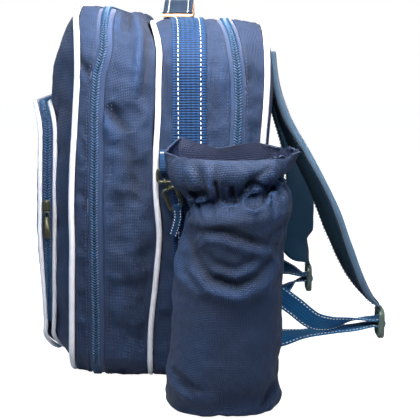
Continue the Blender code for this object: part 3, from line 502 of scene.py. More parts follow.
def buildRibGroup():
    # Bars across a webbing, cut by columns of binding thread. U runs along it, V from edge to edge.
    group, start, end = newGroup(
        "ladderRibs", [("Rib Pitch", "NodeSocketFloat", 0.0024), ("Column Pitch", "NodeSocketFloat", 0.0032),
                       ("Vector", "NodeSocketVector", None)],
        [("Height", "NodeSocketFloat"), ("Bar", "NodeSocketFloat")])
    split = group.nodes.new("ShaderNodeSeparateXYZ")
    group.links.new(start.outputs["Vector"], split.inputs[0])
    along = mathNode(group, "DIVIDE", split.outputs[0], start.outputs["Rib Pitch"])
    across = mathNode(group, "DIVIDE", split.outputs[1], start.outputs["Column Pitch"])
    column = mathNode(group, "MULTIPLY_ADD",
                      mathNode(group, "SINE", mathNode(group, "MULTIPLY", across, 2 * math.pi)), 0.5, 0.5)
    bar = mathNode(group, "MULTIPLY_ADD",
                   mathNode(group, "SINE", mathNode(group, "MULTIPLY", along, 2 * math.pi)), 0.5, 0.5)
    height = mathNode(group, "ADD", mathNode(group, "MULTIPLY", bar, 0.7),
                      mathNode(group, "MULTIPLY", column, 0.3))
    group.links.new(height, end.inputs["Height"])
    group.links.new(mathNode(group, "MULTIPLY", bar, mathNode(group, "MULTIPLY_ADD", column, 0.5, 0.5)),
                    end.inputs["Bar"])
    return group


weaveGroup = buildWeaveGroup()
toneGroup = buildToneGroup()
ribGroup = buildRibGroup()


def addGroup(tree, group, **values):
    node = tree.nodes.new("ShaderNodeGroup")
    node.node_tree = group
    for label, value in values.items():
        node.inputs[label.replace("_", " ")].default_value = value
    return node


def mixColours(tree, factor, first, second):
    mix = tree.nodes.new("ShaderNodeMix")
    mix.data_type = "RGBA"
    for slot, value in ((6, first), (7, second)):
        if isinstance(value, tuple):
            mix.inputs[slot].default_value = (*value, 1.0)
        else:
            tree.links.new(value, mix.inputs[slot])
    tree.links.new(factor, mix.inputs[0])
    return mix.outputs[2]


def startMaterial(name, roughness, metallic=0.0, sheen=0.0, sheenTint=(1, 1, 1), coat=0.0, specular=0.5):
    material = bpy.data.materials.new(name)
    material.use_nodes = True
    shader = material.node_tree.nodes["Principled BSDF"]
    for label, value in (("Roughness", roughness), ("Metallic", metallic), ("Sheen Weight", sheen),
                         ("Sheen Tint", (*sheenTint, 1.0)), ("Sheen Roughness", 0.5),
                         ("Coat Weight", coat), ("Specular IOR Level", specular)):
        shader.inputs[label].default_value = value
    return material, material.node_tree, shader


def addBump(tree, shader, height, distance):
    bump = tree.nodes.new("ShaderNodeBump")
    bump.inputs["Distance"].default_value = distance
    bump.inputs["Strength"].default_value = 1.0
    tree.links.new(height, bump.inputs["Height"])
    tree.links.new(bump.outputs["Normal"], shader.inputs["Normal"])


def addPattern(tree, group, output, pitches, tones):
    # Where the light thread shows, from 0 to 1, and how high the threads stand
    uv = tree.nodes.new("ShaderNodeUVMap")
    uv.uv_map = "UVMap"
    pattern = addGroup(tree, group, **pitches)
    tree.links.new(uv.outputs[0], pattern.inputs["Vector"])
    tone = addGroup(tree, toneGroup, **tones)
    factor = mathNode(tree, "MULTIPLY_ADD", pattern.outputs[output], 0.9,
                      mathNode(tree, "SUBTRACT", tone.outputs["Tone"], 0.45), clamp=True)
    return factor, pattern.outputs["Height"]


# The materials' dark and light colours are sRGB, from 0 to 255
def wovenMaterial(name, dark, light, pitch, roughness=0.62, sheen=0.35, depth=0.0004,
                  tint=(0.75, 0.8, 1.0)):
    material, tree, shader = startMaterial(name, roughness, sheen=sheen, sheenTint=tint, specular=0.22)
    factor, height = addPattern(tree, weaveGroup, "Over", dict(Pitch=pitch),
                                dict(Patch_Size=0.045, Fibre_Size=0.0016, Patchiness=0.5, Fibre=0.3))
    # Painted shade and highlight: the colour is darkened in fold valleys and lightened on ridges, by the 'fold'
    # attribute
    fold = tree.nodes.new("ShaderNodeAttribute")
    fold.attribute_name = "fold"
    shade = tree.nodes.new("ShaderNodeHueSaturation")
    tree.links.new(mathNode(tree, "MULTIPLY_ADD", fold.outputs["Fac"], 0.5, 1.0), shade.inputs["Value"])
    tree.links.new(mixColours(tree, factor, fromSrgb(*dark), fromSrgb(*light)), shade.inputs["Color"])
    tree.links.new(shade.outputs["Color"], shader.inputs["Base Color"])
    addBump(tree, shader, height, depth)
    return material


def ribbedMaterial(name, dark, light, ribPitch, columnPitch, depth=0.0005):
    material, tree, shader = startMaterial(name, 0.55, sheen=0.08, sheenTint=(0.6, 0.8, 1.0), specular=0.08)
    factor, height = addPattern(tree, ribGroup, "Bar", dict(Rib_Pitch=ribPitch, Column_Pitch=columnPitch),
                                dict(Patch_Size=0.03, Fibre_Size=0.001, Patchiness=0.35, Fibre=0.35))
    tree.links.new(mixColours(tree, factor, fromSrgb(*dark), fromSrgb(*light)), shader.inputs["Base Color"])
    addBump(tree, shader, height, depth)
    return material


def grainMaterial(name, dark, light, roughness, patch=0.01, fine=0.0008, metallic=0.0, depth=0.0001,
                  sheen=0.0, coat=0.0):
    # Anything without a weave: piping, thread, plastic, leather and brass
    material, tree, shader = startMaterial(name, roughness, metallic, sheen, coat=coat)
    tone = addGroup(tree, toneGroup, Patch_Size=patch, Fibre_Size=fine, Patchiness=0.8, Fibre=0.5)
    factor = mathNode(tree, "MAXIMUM", tone.outputs["Tone"], 0.0)
    tree.links.new(mixColours(tree, factor, fromSrgb(*dark), fromSrgb(*light)), shader.inputs["Base Color"])
    tree.links.new(mathNode(tree, "MULTIPLY_ADD", tone.outputs["Tone"], 0.2, roughness - 0.1),
                   shader.inputs["Roughness"])
    addBump(tree, shader, tone.outputs["Tone"], depth)
    return material


cloth = wovenMaterial("navyOxford", (1, 13, 34), (14, 42, 79), 0.0014, sheen=0.03,
                      tint=(0.9, 0.92, 1.0))
# Painted shade: the tote's inside is a darker copy of the navy cloth, for the shadow inside the tote
clothInsideShade = wovenMaterial("navyLiningShade", (0, 8, 28), (6, 24, 58), 0.0014, sheen=0.0)
tapeCloth = wovenMaterial("zipTape", (1, 20, 50), (6, 44, 86), 0.0010, depth=0.0002)
# Painted shade: a darker copy of the zip tape for the channel under the teeth
chainShade = wovenMaterial("zipChannelShade", (1, 8, 26), (4, 20, 50), 0.0012, depth=0.0002)
strapCloth = wovenMaterial("strapMesh", (3, 26, 42), (14, 58, 84), 0.0016, roughness=0.8, sheen=0.0)
# Painted highlight: a lighter copy of the strap cloth for the binding on the edge that catches the side light
strapEdgeHighlight = wovenMaterial("strapBindingHighlight", (28, 54, 80), (66, 98, 128), 0.0011, depth=0.0002)
ladderWebbing = ribbedMaterial("ladderWebbing", (0, 6, 24), (4, 52, 100), 0.0025, 0.0046)
handleWebbing = ribbedMaterial("handleWebbing", (0, 7, 22), (2, 28, 60), 0.0023, 0.0040)
tabWebbing = ribbedMaterial("tabWebbing", (1, 16, 44), (16, 62, 106), 0.0014, 0.0030)
fineWebbing = ribbedMaterial("fineWebbing", (4, 52, 100), (44, 118, 172), 0.0014, 0.0030)
pipingVinyl = grainMaterial("whitePiping", (146, 154, 172), (182, 189, 204), 0.45)
whiteThread = grainMaterial("whiteThread", (200, 216, 228), (242, 247, 252), 0.6, fine=0.0004)
navyThread = grainMaterial("navyThread", (8, 18, 40), (24, 42, 76), 0.6, fine=0.0004)
zipCoil = grainMaterial("zipCoil", (4, 32, 66), (20, 74, 116), 0.42, coat=0.03)
tanLeather = grainMaterial("tanLeather", (186, 130, 84), (240, 204, 160), 0.5, patch=0.006,
                           fine=0.0009, depth=0.0003)
oliveBrass = grainMaterial("oliveBrass", (22, 26, 24), (72, 76, 62), 0.40, metallic=0.6)
buckleNylon = grainMaterial("buckleNylon", (30, 44, 44), (84, 106, 102), 0.42, coat=0.15)
print("materials ready")


# Repeats: stitches and zip teeth, by Geometry Nodes
# Each kind of stitch: from one to the next, and its own length and width
sewing = dict(hem=(0.0036, 0.0024, 0.0011), webbing=(0.0045, 0.0032, 0.0007), strap=(0.0040, 0.0028, 0.0007),
              lower=(0.0038, 0.0027, 0.0010), tab=(0.0026, 0.0018, 0.0006))


def buildRepeatTree(name, kind):
    # One small solid on each point, turned by the point's own angles, then made real
    tree = bpy.data.node_groups.new(name, "GeometryNodeTree")
    tree.interface.new_socket("Points", in_out="INPUT", socket_type="NodeSocketGeometry")
    for label, value in (("Length", 0.003), ("Width", 0.001), ("Height", 0.0006)):
        socket = tree.interface.new_socket(label, in_out="INPUT", socket_type="NodeSocketFloat")
        socket.default_value = value
    tree.interface.new_socket("Finish", in_out="INPUT", socket_type="NodeSocketMaterial")
    tree.interface.new_socket("Seed", in_out="INPUT", socket_type="NodeSocketInt").default_value = 7
    tree.interface.new_socket("Unevenness", in_out="INPUT", socket_type="NodeSocketFloat").default_value = 0.1
    tree.interface.new_socket("Repeats", in_out="OUTPUT", socket_type="NodeSocketGeometry")
    nodes, link = tree.nodes, tree.links.new
    start, end = nodes.new("NodeGroupInput"), nodes.new("NodeGroupOutput")
    if kind == "stitch":
        solid, sizes = nodes.new("GeometryNodeMeshUVSphere"), dict(Segments=6, Rings=4, Radius=0.5)
    else:
        solid, sizes = nodes.new("GeometryNodeMeshCylinder"), dict(Vertices=6, Radius=0.5, Depth=1.0)
    for label, value in sizes.items():
        solid.inputs[label].default_value = value
    shape = nodes.new("ShaderNodeCombineXYZ")
    order = ("Length", "Width", "Height") if kind == "stitch" else ("Width", "Height", "Length")
    for slot, label in enumerate(order):
        link(start.outputs[label], shape.inputs[slot])
    vary = nodes.new("FunctionNodeRandomValue")
    vary.data_type = "FLOAT"
    link(mathNode(tree, "SUBTRACT", 1.0, start.outputs["Unevenness"]), vary.inputs[2])
    link(mathNode(tree, "ADD", 1.0, start.outputs["Unevenness"]), vary.inputs[3])
    link(start.outputs["Seed"], vary.inputs["Seed"])
    size = nodes.new("ShaderNodeVectorMath")
    size.operation = "SCALE"
    link(shape.outputs[0], size.inputs[0])
    link(vary.outputs[1], size.inputs["Scale"])
    turn = nodes.new("GeometryNodeInputNamedAttribute")
    turn.data_type = "FLOAT_VECTOR"
    turn.inputs["Name"].default_value = "turn"
    toRotation = nodes.new("FunctionNodeEulerToRotation")
    link(turn.outputs["Attribute"], toRotation.inputs[0])
    spread = nodes.new("GeometryNodeInstanceOnPoints")
    link(start.outputs["Points"], spread.inputs["Points"])
    link(solid.outputs["Mesh"], spread.inputs["Instance"])
    link(toRotation.outputs[0], spread.inputs["Rotation"])
    link(size.outputs[0], spread.inputs["Scale"])
    real = nodes.new("GeometryNodeRealizeInstances")
    link(spread.outputs[0], real.inputs[0])
    smooth = nodes.new("GeometryNodeSetShadeSmooth")
    link(real.outputs[0], smooth.inputs[0])
    paint = nodes.new("GeometryNodeSetMaterial")
    link(smooth.outputs[0], paint.inputs["Geometry"])
    link(start.outputs["Finish"], paint.inputs["Material"])
    link(paint.outputs[0], end.inputs[0])
    return tree


stitchTree = buildRepeatTree("sewStitches", "stitch")
toothTree = buildRepeatTree("zipTeeth", "tooth")


def repeatPiece(name, tree, places, length, width, height, finish, seed=7):
    # places is a list of (position, along, out), and each solid lies along its own direction
    mesh = bpy.data.meshes.new(name)
    mesh.from_pydata([tuple(p) for p, _, _ in places], [], [])
    turns = mesh.attributes.new("turn", "FLOAT_VECTOR", "POINT")
    for i, (_, along, out) in enumerate(places):
        x = Vector(along).normalized()
        z = (Vector(out) - x * x.dot(Vector(out))).normalized()
        if tree is toothTree:
            basis = Matrix((z.cross(x), z, x)).transposed()
        else:
            basis = Matrix((x, z.cross(x), z)).transposed()
        turns.data[i].vector = basis.to_euler("XYZ")
    piece = linkPiece(name, mesh)
    modifier = piece.modifiers.new("repeat", "NODES")
    modifier.node_group = tree
    values = dict(Length=length, Width=width, Height=height, Finish=finish, Seed=seed, Unevenness=0.08)
    for item in tree.interface.items_tree:
        if item.in_out == "INPUT" and item.name in values:
            modifier[item.identifier] = values[item.name]
    piece = bake(piece)
    return finishPiece(piece, finish)


def alongPath(points, outs, spacing, start):
    # Evenly spaced (position, along, out) on a path that has an outward direction at each point
    points, outs = np.asarray(points, float), np.asarray(outs, float)
    along = runOf(points)
    tangents = np.gradient(points, along, axis=0)
    return [tuple(Vector([np.interp(d, along, field[:, k]) for k in range(3)])
                  for field in (points, tangents, outs))
            for d in np.arange(start, along[-1], spacing)]


# Sweeps: cords, webbing and straps
def unitRows(rows):
    return rows / np.maximum(np.linalg.norm(rows, axis=1), 1e-12)[:, None]


def framesOn(path, lay, roll=None, closed=False):
    # The directions across and out of a strip whose width lies along lay, turned by roll in degrees
    path = np.asarray(path, float)
    if closed:
        along = np.roll(path, -1, axis=0) - np.roll(path, 1, axis=0)
    else:
        along = np.gradient(path, axis=0)
    along = unitRows(along)
    lay = np.broadcast_to(np.asarray(lay, float), path.shape)
    across = unitRows(lay - along * np.sum(along * lay, axis=1)[:, None])
    out = np.cross(along, across)
    if roll is not None:
        c, s = np.cos(np.radians(roll))[:, None], np.sin(np.radians(roll))[:, None]
        across, out = across * c + out * s, out * c - across * s
    return across, out


def roundShape(radius, sides):
    turn = 2 * np.pi * np.arange(sides) / sides
    return np.stack([radius * np.cos(turn), radius * np.sin(turn)], axis=1)


def flatShape(width, thickness, steps=8, crown=0.0):
    # A webbing's section: flat faces and round edges, or crowned as a pad
    half, edge = thickness / 2, width / 2 - thickness / 2
    across = np.linspace(-edge, edge, steps + 1)
    rise = half + crown * (1 - (across / edge) ** 4)
    turn = np.radians([60, 30, 0, -30, -60])
    right = np.stack([edge + half * np.cos(turn), half * np.sin(turn)], axis=1)
    top = np.stack([across, rise], axis=1)
    bottom = np.stack([across[::-1], -rise[::-1]], axis=1)
    left = np.stack([-edge - half * np.cos(turn[::-1]), half * np.sin(turn[::-1])], axis=1)
    return np.vstack([top, right, bottom, left])


def sweepPiece(name, path, across, out, shape, widths=None, thicks=None, closed=False):
    # Carries a closed section along a path
    path = np.asarray(path, float)
    rows = len(path)
    widths = np.ones(rows) if widths is None else np.asarray(widths, float)
    thicks = np.ones(rows) if thicks is None else np.asarray(thicks, float)
    grid = (path[:, None] + across[:, None] * (shape[None, :, :1] * widths[:, None, None])
            + out[:, None] * (shape[None, :, 1:] * thicks[:, None, None]))
    around = runOf(np.vstack([shape, shape[:1]]))
    if closed:
        grid = np.concatenate([grid, grid[:1]])
        path = np.vstack([path, path[:1]])
    along = runOf(path)
    isFlat = np.ptp(shape[:, 0]) > 3 * np.ptp(shape[:, 1])
    sideways = np.append(shape[:, 0], shape[0, 0]) if isFlat else around
    uv = np.stack(np.broadcast_arrays(along[:, None], sideways[None, :]), axis=2)
    piece = gridPiece(name, grid, uv, closed=True)
    return sealPiece(piece)


def sealPiece(piece, fill=True):
    # Merges the joins, closes the ends and turns the faces outwards
    shaped = bmesh.new()
    shaped.from_mesh(piece.data)
    bmesh.ops.remove_doubles(shaped, verts=shaped.verts, dist=1e-6)
    if fill:
        edges = [edge for edge in shaped.edges if edge.is_boundary]
        if edges:
            found = bmesh.ops.holes_fill(shaped, edges=edges, sides=0)
            for face in found["faces"]:
                face.smooth = False
    bmesh.ops.recalc_face_normals(shaped, faces=shaped.faces)
    shaped.to_mesh(piece.data)
    shaped.free()
    piece.data.update()
    return piece


def smoothTable(rows, count, *columns):
    # A table's path and its columns, smooth and evenly spaced along the path
    points = np.array([[row["x"], row["y"], row["z"]] for row in rows], float)
    at = runOf(points)
    table = [dict(row, at=at[i]) for i, row in enumerate(rows)]
    even = np.linspace(0, at[-1], count)
    path = np.stack([tableCurve(table, "at", key, even) for key in ("x", "y", "z")], axis=1)
    return path, [tableCurve(table, "at", key, even) for key in columns]


def pushOut(piece, amount):
    # Moves each point along its own normal
    setCoords(piece, coordsOf(piece) + vertexNormals(piece) * np.asarray(amount)[:, None])


# Camera, light and floor
view = dict(place=(1.040, 0.0355, 0.329), pitch=10.0, lens=82.54)
cameraData = bpy.data.cameras.new("photoCamera")
cameraData.lens, cameraData.sensor_width = view["lens"], 36.0
cameraData.clip_start, cameraData.clip_end = 0.01, 50
camera = bpy.data.objects.new("photoCamera", cameraData)
camera.location = view["place"]
camera.rotation_euler = (math.radians(90 - view["pitch"]), 0, math.radians(90))
scene.collection.objects.link(camera)
scene.camera = camera
scene.view_settings.view_transform = "Standard"

studio = dict(ambient=0.045, overhead=0.3, crown=8.6, cameraSide=0.12, frontSide=4.4, farSide=6.0, fill=4.0,
              cool=(0.60, 0.82, 1.0), warm=(1.0, 0.87, 0.74))


def addArea(name, place, aim, size, power, colour=(1, 1, 1)):
    data = bpy.data.lights.new(name, "AREA")
    data.shape, data.size, data.size_y = "RECTANGLE", size[0], size[1]
    data.energy, data.color = power, colour
    light = bpy.data.objects.new(name, data)
    light.location = place
    light.visible_camera = False
    light.rotation_euler = (Vector(aim) - Vector(place)).to_track_quat("-Z", "Y").to_euler()
    scene.collection.objects.link(light)


addArea("overheadSoftbox", (0.42, 0.0, 0.57), (0.10, 0.0, 0.22), (0.36, 0.6), studio["overhead"],
        studio["cool"])
addArea("crownSoftbox", (0.27, 0.02, 0.48), (0.13, 0.02, 0.30), (0.20, 0.42), studio["crown"],
        studio["warm"])
addArea("cameraSoftbox", (1.60, -0.20, 0.75), (0.1, 0.0, 0.15), (1.2, 1.0), studio["cameraSide"],
        studio["cool"])
addArea("frontSoftbox", (0.25, -0.55, 0.62), (0.05, -0.10, 0.22), (0.4, 0.4), studio["frontSide"],
        studio["cool"])
addArea("farSoftbox", (0.55, 0.95, 0.65), (0.15, 0.1, 0.12), (0.5, 0.6), studio["farSide"], studio["cool"])
addArea("backFill", (-0.95, 0.85, 0.80), (0.0, 0.0, 0.15), (0.8, 0.8), studio["fill"])
addArea("farFill", (-0.85, -0.95, 0.80), (0.0, 0.0, 0.15), (0.8, 0.8), studio["fill"])

world = bpy.data.worlds.new("studio")
scene.world = world
world.use_nodes = True
worldTree = world.node_tree
background = worldTree.nodes["Background"]
lightPath = worldTree.nodes.new("ShaderNodeLightPath")
strength = mathNode(worldTree, "MULTIPLY_ADD", lightPath.outputs["Is Camera Ray"], 1.0 - studio["ambient"],
                    studio["ambient"])
worldTree.links.new(strength, background.inputs["Strength"])
worldTree.links.new(mixColours(worldTree, lightPath.outputs["Is Camera Ray"], studio["cool"], (1.0, 1.0, 1.0)),
                    background.inputs["Color"])

floorMesh = bpy.data.meshes.new("studioFloor")
floorCorners = [(x, y, -0.0002) for x, y in ((-4, -4), (4, -4), (4, 4), (-4, 4))]
floorMesh.from_pydata(floorCorners, [], [(0, 1, 2, 3)])
floor = linkPiece("studioFloor", floorMesh)
floorMaterial = bpy.data.materials.new("palePaper")
floorMaterial.use_nodes = True
floorShader = floorMaterial.node_tree.nodes["Principled BSDF"]
floorShader.inputs["Base Color"].default_value = (0.35, 0.36, 0.38, 1)
floorShader.inputs["Roughness"].default_value = 0.9
floorShader.inputs["Emission Color"].default_value = (1, 1, 1, 1)
floorTree = floorMaterial.node_tree
floorPath = floorTree.nodes.new("ShaderNodeLightPath")
floorTree.links.new(mathNode(floorTree, "MULTIPLY", floorPath.outputs["Is Camera Ray"], 0.98),
                    floorShader.inputs["Emission Strength"])
floorMesh.materials.append(floorMaterial)
print("camera and light ready")


# The cloth strips over the body
clothWall = 0.0016
sideWebbing = dict(width=0.032, thickness=0.0016, centre=0.0165, seat=0.0006, handleSpan=0.156,
                   handleCentre=0.0032, stitchIn=0.0055)

# Folds on the pack's side as lines of (y, z), with their width and depth in metres
middleFolds = foldsOf(
    (0.0060, 0.0045, (-0.060, 0.270), (-0.050, 0.255), (-0.041, 0.2425)),
    (0.0070, 0.0030, (-0.041, 0.2425), (-0.038, 0.215), (-0.0365, 0.175)),
    (0.0042, 0.0040, (-0.026, 0.352), (-0.022, 0.335), (-0.023, 0.305), (-0.027, 0.275)),
    (0.0060, 0.0018, (-0.052, 0.200), (-0.049, 0.165), (-0.052, 0.130)),
    (0.0060, 0.0016, (-0.046, 0.120), (-0.040, 0.080), (-0.044, 0.045)),
    (0.0050, 0.0014, (-0.030, 0.150), (-0.028, 0.110), (-0.030, 0.070)),
    (0.0045, 0.0030, (-0.046, 0.357), (-0.043, 0.350), (-0.043, 0.335)))
frontFolds = foldsOf(
    (0.0040, 0.0020, (-0.090, 0.318), (-0.080, 0.302), (-0.072, 0.294)),
    (0.0036, 0.0014, (-0.088, 0.245), (-0.082, 0.228), (-0.080, 0.212)),
    (0.0036, 0.0012, (-0.090, 0.190), (-0.083, 0.180), (-0.080, 0.165)))
rearFolds = foldsOf(
    (0.0034, 0.0016, (0.040, 0.322), (0.038, 0.290), (0.040, 0.262)),
    (0.0030, 0.0016, (-0.008, 0.315), (-0.006, 0.285), (-0.008, 0.260)))
backFolds = foldsOf(
    (0.0044, 0.0022, (0.070, 0.325), (0.072, 0.295), (0.069, 0.262)),
    (0.0040, 0.0016, (0.078, 0.250), (0.076, 0.220), (0.079, 0.190)),
    (0.0044, 0.0016, (0.072, 0.150), (0.076, 0.110), (0.072, 0.070)))
gussets = [
    dict(name="front_gusset", fore=ringBeside(frontSeam, seamRoom), aft=frontZipFore, rows=4, hems=(0, 1),
         grow=0.03, pressure=1.6, reach=0.0022, folds=frontFolds),
    dict(name="middle_gusset", fore=frontZipAft, aft=ringBeside(middleSeam, -seamRoom), rows=9, hems=(1, 0),
         grow=0.035, pressure=1.6, reach=0.0045, folds=middleFolds),
    dict(name="rear_gusset", fore=ringBeside(middleSeam, seamRoom), aft=rearZipFore, rows=12, hems=(0, 1),
         grow=0.03, pressure=1.2, reach=0.0028, folds=rearFolds),
    dict(name="back_gusset", fore=rearZipAft, aft=ringBeside(rearSeam, -seamRoom), rows=6, hems=(1, 0),
         grow=0.035, pressure=1.6, reach=0.0032, folds=backFolds)]


def buildGusset(part):
    columns = 200
    lines = [ringPoints(ringBetween(part["fore"], part["aft"], r / part["rows"]), columns)
             for r in range(part["rows"] + 1)]
    grid = np.array([points for points, _ in lines])
    length, width = lines[0][1], np.linalg.norm(grid[-1] - grid[0], axis=1).mean()
    piece = gridPiece(part["name"] + "_cloth", grid, stripUv(grid, length, width), flip=True)
    row, column = np.divmod(np.arange(grid.shape[0] * columns), columns)
    start = coordsOf(piece)
    sewn = np.abs(start[:, 1] - sideWebbing["centre"]) < sideWebbing["width"] / 2
    sewn &= np.abs(start[:, 0]) > 0.05
    pinned = (row == 0) | (row == part["rows"]) | (column < 2) | (column > columns - 3) | sewn
    setCoords(piece, start + vertexNormals(piece) * (smoothNoise(start, 60, 3) * 0.0006 * ~pinned)[:, None])
    relaxCloth(piece, pinned, part["grow"], part["pressure"], part["reach"])
    refine(piece, 2)
    found = coordsOf(piece)
    fore, aft, climb = part["fore"], part["aft"], found[:, 2] / 0.35
    depth = lerp(aft["yFoot"] - fore["yFoot"], aft["yTop"] - fore["yTop"], climb)
    share = np.clip((found[:, 1] - lerp(fore["yFoot"], fore["yTop"], climb)) / np.maximum(depth, 1e-3), 0, 1)
    middle = np.sin(np.pi * share)
    near = np.clip(found[:, 0] / 0.08, 0, 1)
    far = np.clip(-found[:, 0] / 0.08, 0, 1)
    push = creaseDepth(found[:, 1], found[:, 2], part["folds"]) * near
    push += creaseDepth(found[:, 1], found[:, 2] - 0.012, part["folds"]) * far * 0.8
    push += smoothNoise(found * np.array([1, 1, 0.55]), 75, 5) * 0.0011 * middle
    push += smoothNoise(found, 210, 6) * 0.00035 * middle
    # The hem beside a zip is folded double, and its stitches pull small puckers
    for side, present in enumerate(part["hems"]):
        if present:
            inFromEdge = (1 - share if side == 1 else share) * width
            push += 0.0007 * np.exp(-(inFromEdge / 0.0045) ** 4)
            push -= 0.0005 * np.exp(-((inFromEdge - 0.0035) / 0.0009) ** 2)
            puckers = smoothNoise(found * np.array([1, 0.3, 1]), 330, 8) * 0.00035
            push += puckers * np.exp(-(inFromEdge / 0.008) ** 2)
    underWebbing = np.abs(found[:, 1] - sideWebbing["centre"]) < sideWebbing["width"] / 2 + 0.001
    push = np.where(underWebbing & (np.abs(found[:, 0]) > 0.045), np.minimum(push, 0) * 0.3, push)
    pushOut(piece, push)
    # Painted shade in the folds' valleys and painted highlight on their ridges, for the cloth's colour
    paintFoldShade(piece, push)
    giveWall(piece, clothWall)
    finishPiece(piece, cloth, [part["name"]])


for part in gussets:
    buildGusset(part)
print("gussets ready")


# Pipings
piping = dict(radius=0.0028, sides=14, columns=420)


def pipingPiece(node, path, radius, sides, closed, seed):
    # A filled cord that is a little uneven along its length
    across, out = framesOn(path, (0, 1, 0), closed=closed)
    radii = 1 + 0.035 * smoothNoise(path, 160, seed)
    piece = sweepPiece(node + "_cord", path, across, out, roundShape(radius, sides), radii, radii, closed)
    finishPiece(piece, pipingVinyl, [node])


def buildSeamPiping(node, ring, closed):
    path, _ = ringPoints(ring, piping["columns"], foot=piping["radius"], closed=closed)
    path = path + np.stack([smoothNoise(path, 22, 11) * 0.0005, smoothNoise(path, 26, 12) * 0.0007,
                            np.zeros(len(path))], axis=1)
    pipingPiece(node, path, piping["radius"], piping["sides"], closed, 13)


buildSeamPiping("front_piping", frontSeam, True)
buildSeamPiping("middle_piping", middleSeam, False)
buildSeamPiping("rear_piping", rearSeam, True)


# Zips
zipChain = dict(toothPitch=0.0026, toothLength=0.0043, toothWidth=0.0011, toothHeight=0.0016, slant=56.0,
                tapeThickness=0.0009, rise=0.0009, columns=380)


def chainPlaces(path, across, out):
    # Two columns of slanting teeth that meet in the middle
    along = runOf(path)
    tangents = unitRows(np.gradient(path, along, axis=0))
    places = []
    slant = math.radians(zipChain["slant"])
    reach = zipChain["toothLength"] / 2 * math.sin(slant) * 0.92
    for number, d in enumerate(np.arange(0.001, along[-1] - 0.001, zipChain["toothPitch"])):
        at, t, a, o = (np.array([np.interp(d, along, field[:, k]) for k in range(3)])
                       for field in (path, tangents, across, out))
        for side in (-1, 1):
            direction = t * math.cos(slant) + a * side * math.sin(slant)
            places.append((at + a * side * reach, direction, o))
    return places


def buildBodyZip(node, fore, aft, mouth):
    columns = zipChain["columns"]
    lead, tail = ringBeside(fore, pack["seamGap"]), ringBeside(aft, -pack["seamGap"])
    lines = []
    for share, lift in ((-0.10, -0.0010), (0.0, -0.0006), (0.25, -0.0002), (0.42, 0.0003), (0.58, 0.0003),
                        (0.75, -0.0002), (1.0, -0.0006), (1.10, -0.0010)):
        lines.append(ringPoints(ringBetween(lead, tail, share), columns, lift)[0])
    grid = np.array(lines)
    tape = gridPiece(node + "_tape", grid, stripUv(grid, 0.92, 0.018), flip=True)
    rows = np.arange(len(tape.data.polygons)) // (columns - 1)
    # Rows round the chain's middle take the darker chainShade cloth: painted shade under the teeth
    middle = np.array([-0.05, 0.12, 0.33, 0.5, 0.67, 0.88, 1.05])[np.minimum(rows, 6)]
    tape.data.materials.append(tapeCloth)
    tape.data.materials.append(chainShade)
    tape.data.polygons.foreach_set("material_index", (np.abs(middle - mouth) < 0.22).astype(np.int32))
    giveWall(tape, zipChain["tapeThickness"])
    finishPiece(tape, [tapeCloth, chainShade], [node])
    centre = ringPoints(ringBetween(lead, tail, mouth), columns, zipChain["rise"])[0]
    across = np.tile((0.0, 1.0, 0.0), (columns, 1))
    middle = ringPoints(ringBetween(lead, tail, mouth), columns, zipChain["rise"] + 0.01)[0]
    repeatPiece(node + "_teeth", toothTree, chainPlaces(centre, across, unitRows(middle - centre)),
                zipChain["toothLength"], zipChain["toothWidth"], zipChain["toothHeight"], zipCoil)


buildBodyZip("front_zip", frontZipFore, frontZipAft, 0.42)
buildBodyZip("rear_zip", rearZipFore, rearZipAft, 0.50)


def hemStitches(name, rings):
    pitch, length, width = sewing["hem"]
    places = []
    for ring in rings:
        path = ringPoints(ring, zipChain["columns"], 0.0006)[0]
        outer = ringPoints(ring, zipChain["columns"], 0.0106)[0]
        places += alongPath(path, outer - path, pitch, 0.002)
    repeatPiece(name, stitchTree, places, length, width, 0.0006, navyThread, seed=21)


hemStitches("zip_hem_stitches", [ringBeside(frontZipFore, -0.0026), ringBeside(frontZipAft, 0.0026),
                                 ringBeside(frontZipAft, 0.0056), ringBeside(rearZipFore, -0.0026),
                                 ringBeside(rearZipAft, 0.0026)])
print("pipings and zips ready")


# Panels: front, back, base and the pocket's face
dome = dict(rise=0.032, shoulder=0.075, padRise=0.006, padShoulder=0.045)


def insideDistance(x, z, half, top, foot, topRadius, footRadius):
    middle = (top + foot) / 2
    radius = np.where(z > middle, topRadius, footRadius)
    beyondX = np.abs(x) - (half - radius)
    beyondZ = np.abs(z - middle) - ((top - foot) / 2 - radius)
    outside = np.hypot(np.maximum(beyondX, 0), np.maximum(beyondZ, 0))
    return radius - outside - np.minimum(np.maximum(beyondX, beyondZ), 0)


def seamOutline(ring):
    # A panel's half width, top, foot and corner radii inside the piping of its seam
    return (ring["half"] - seamRoom, ring["top"] - seamRoom, pack["pipingRadius"] + seamRoom,
            pack["topRadius"] - seamRoom, ring["foot"] - seamRoom)


def frontSurface(x, z):
    depth = insideDistance(x, z, *seamOutline(frontSeam))
    fall = 1 - np.clip(depth / dome["shoulder"], 0, 1)
    slope = np.clip((frontSeam["top"] + 0.010 - z) / 0.078, 0, 1)
    y = lerp(frontSeam["yFoot"], frontSeam["yTop"], z / frontSeam["height"])
    return y - dome["rise"] * np.minimum(1 - fall * fall, slope) + tableCurve(seamDrift, "z", "front", z)


def backSurface(x, z):
    depth = insideDistance(x, z, *seamOutline(rearSeam))
    fall = 1 - np.clip(depth / dome["padShoulder"], 0, 1)
    return rearSeam["yTop"] + dome["padRise"] * (1 - fall * fall) + tableCurve(seamDrift, "z", "rear", z)


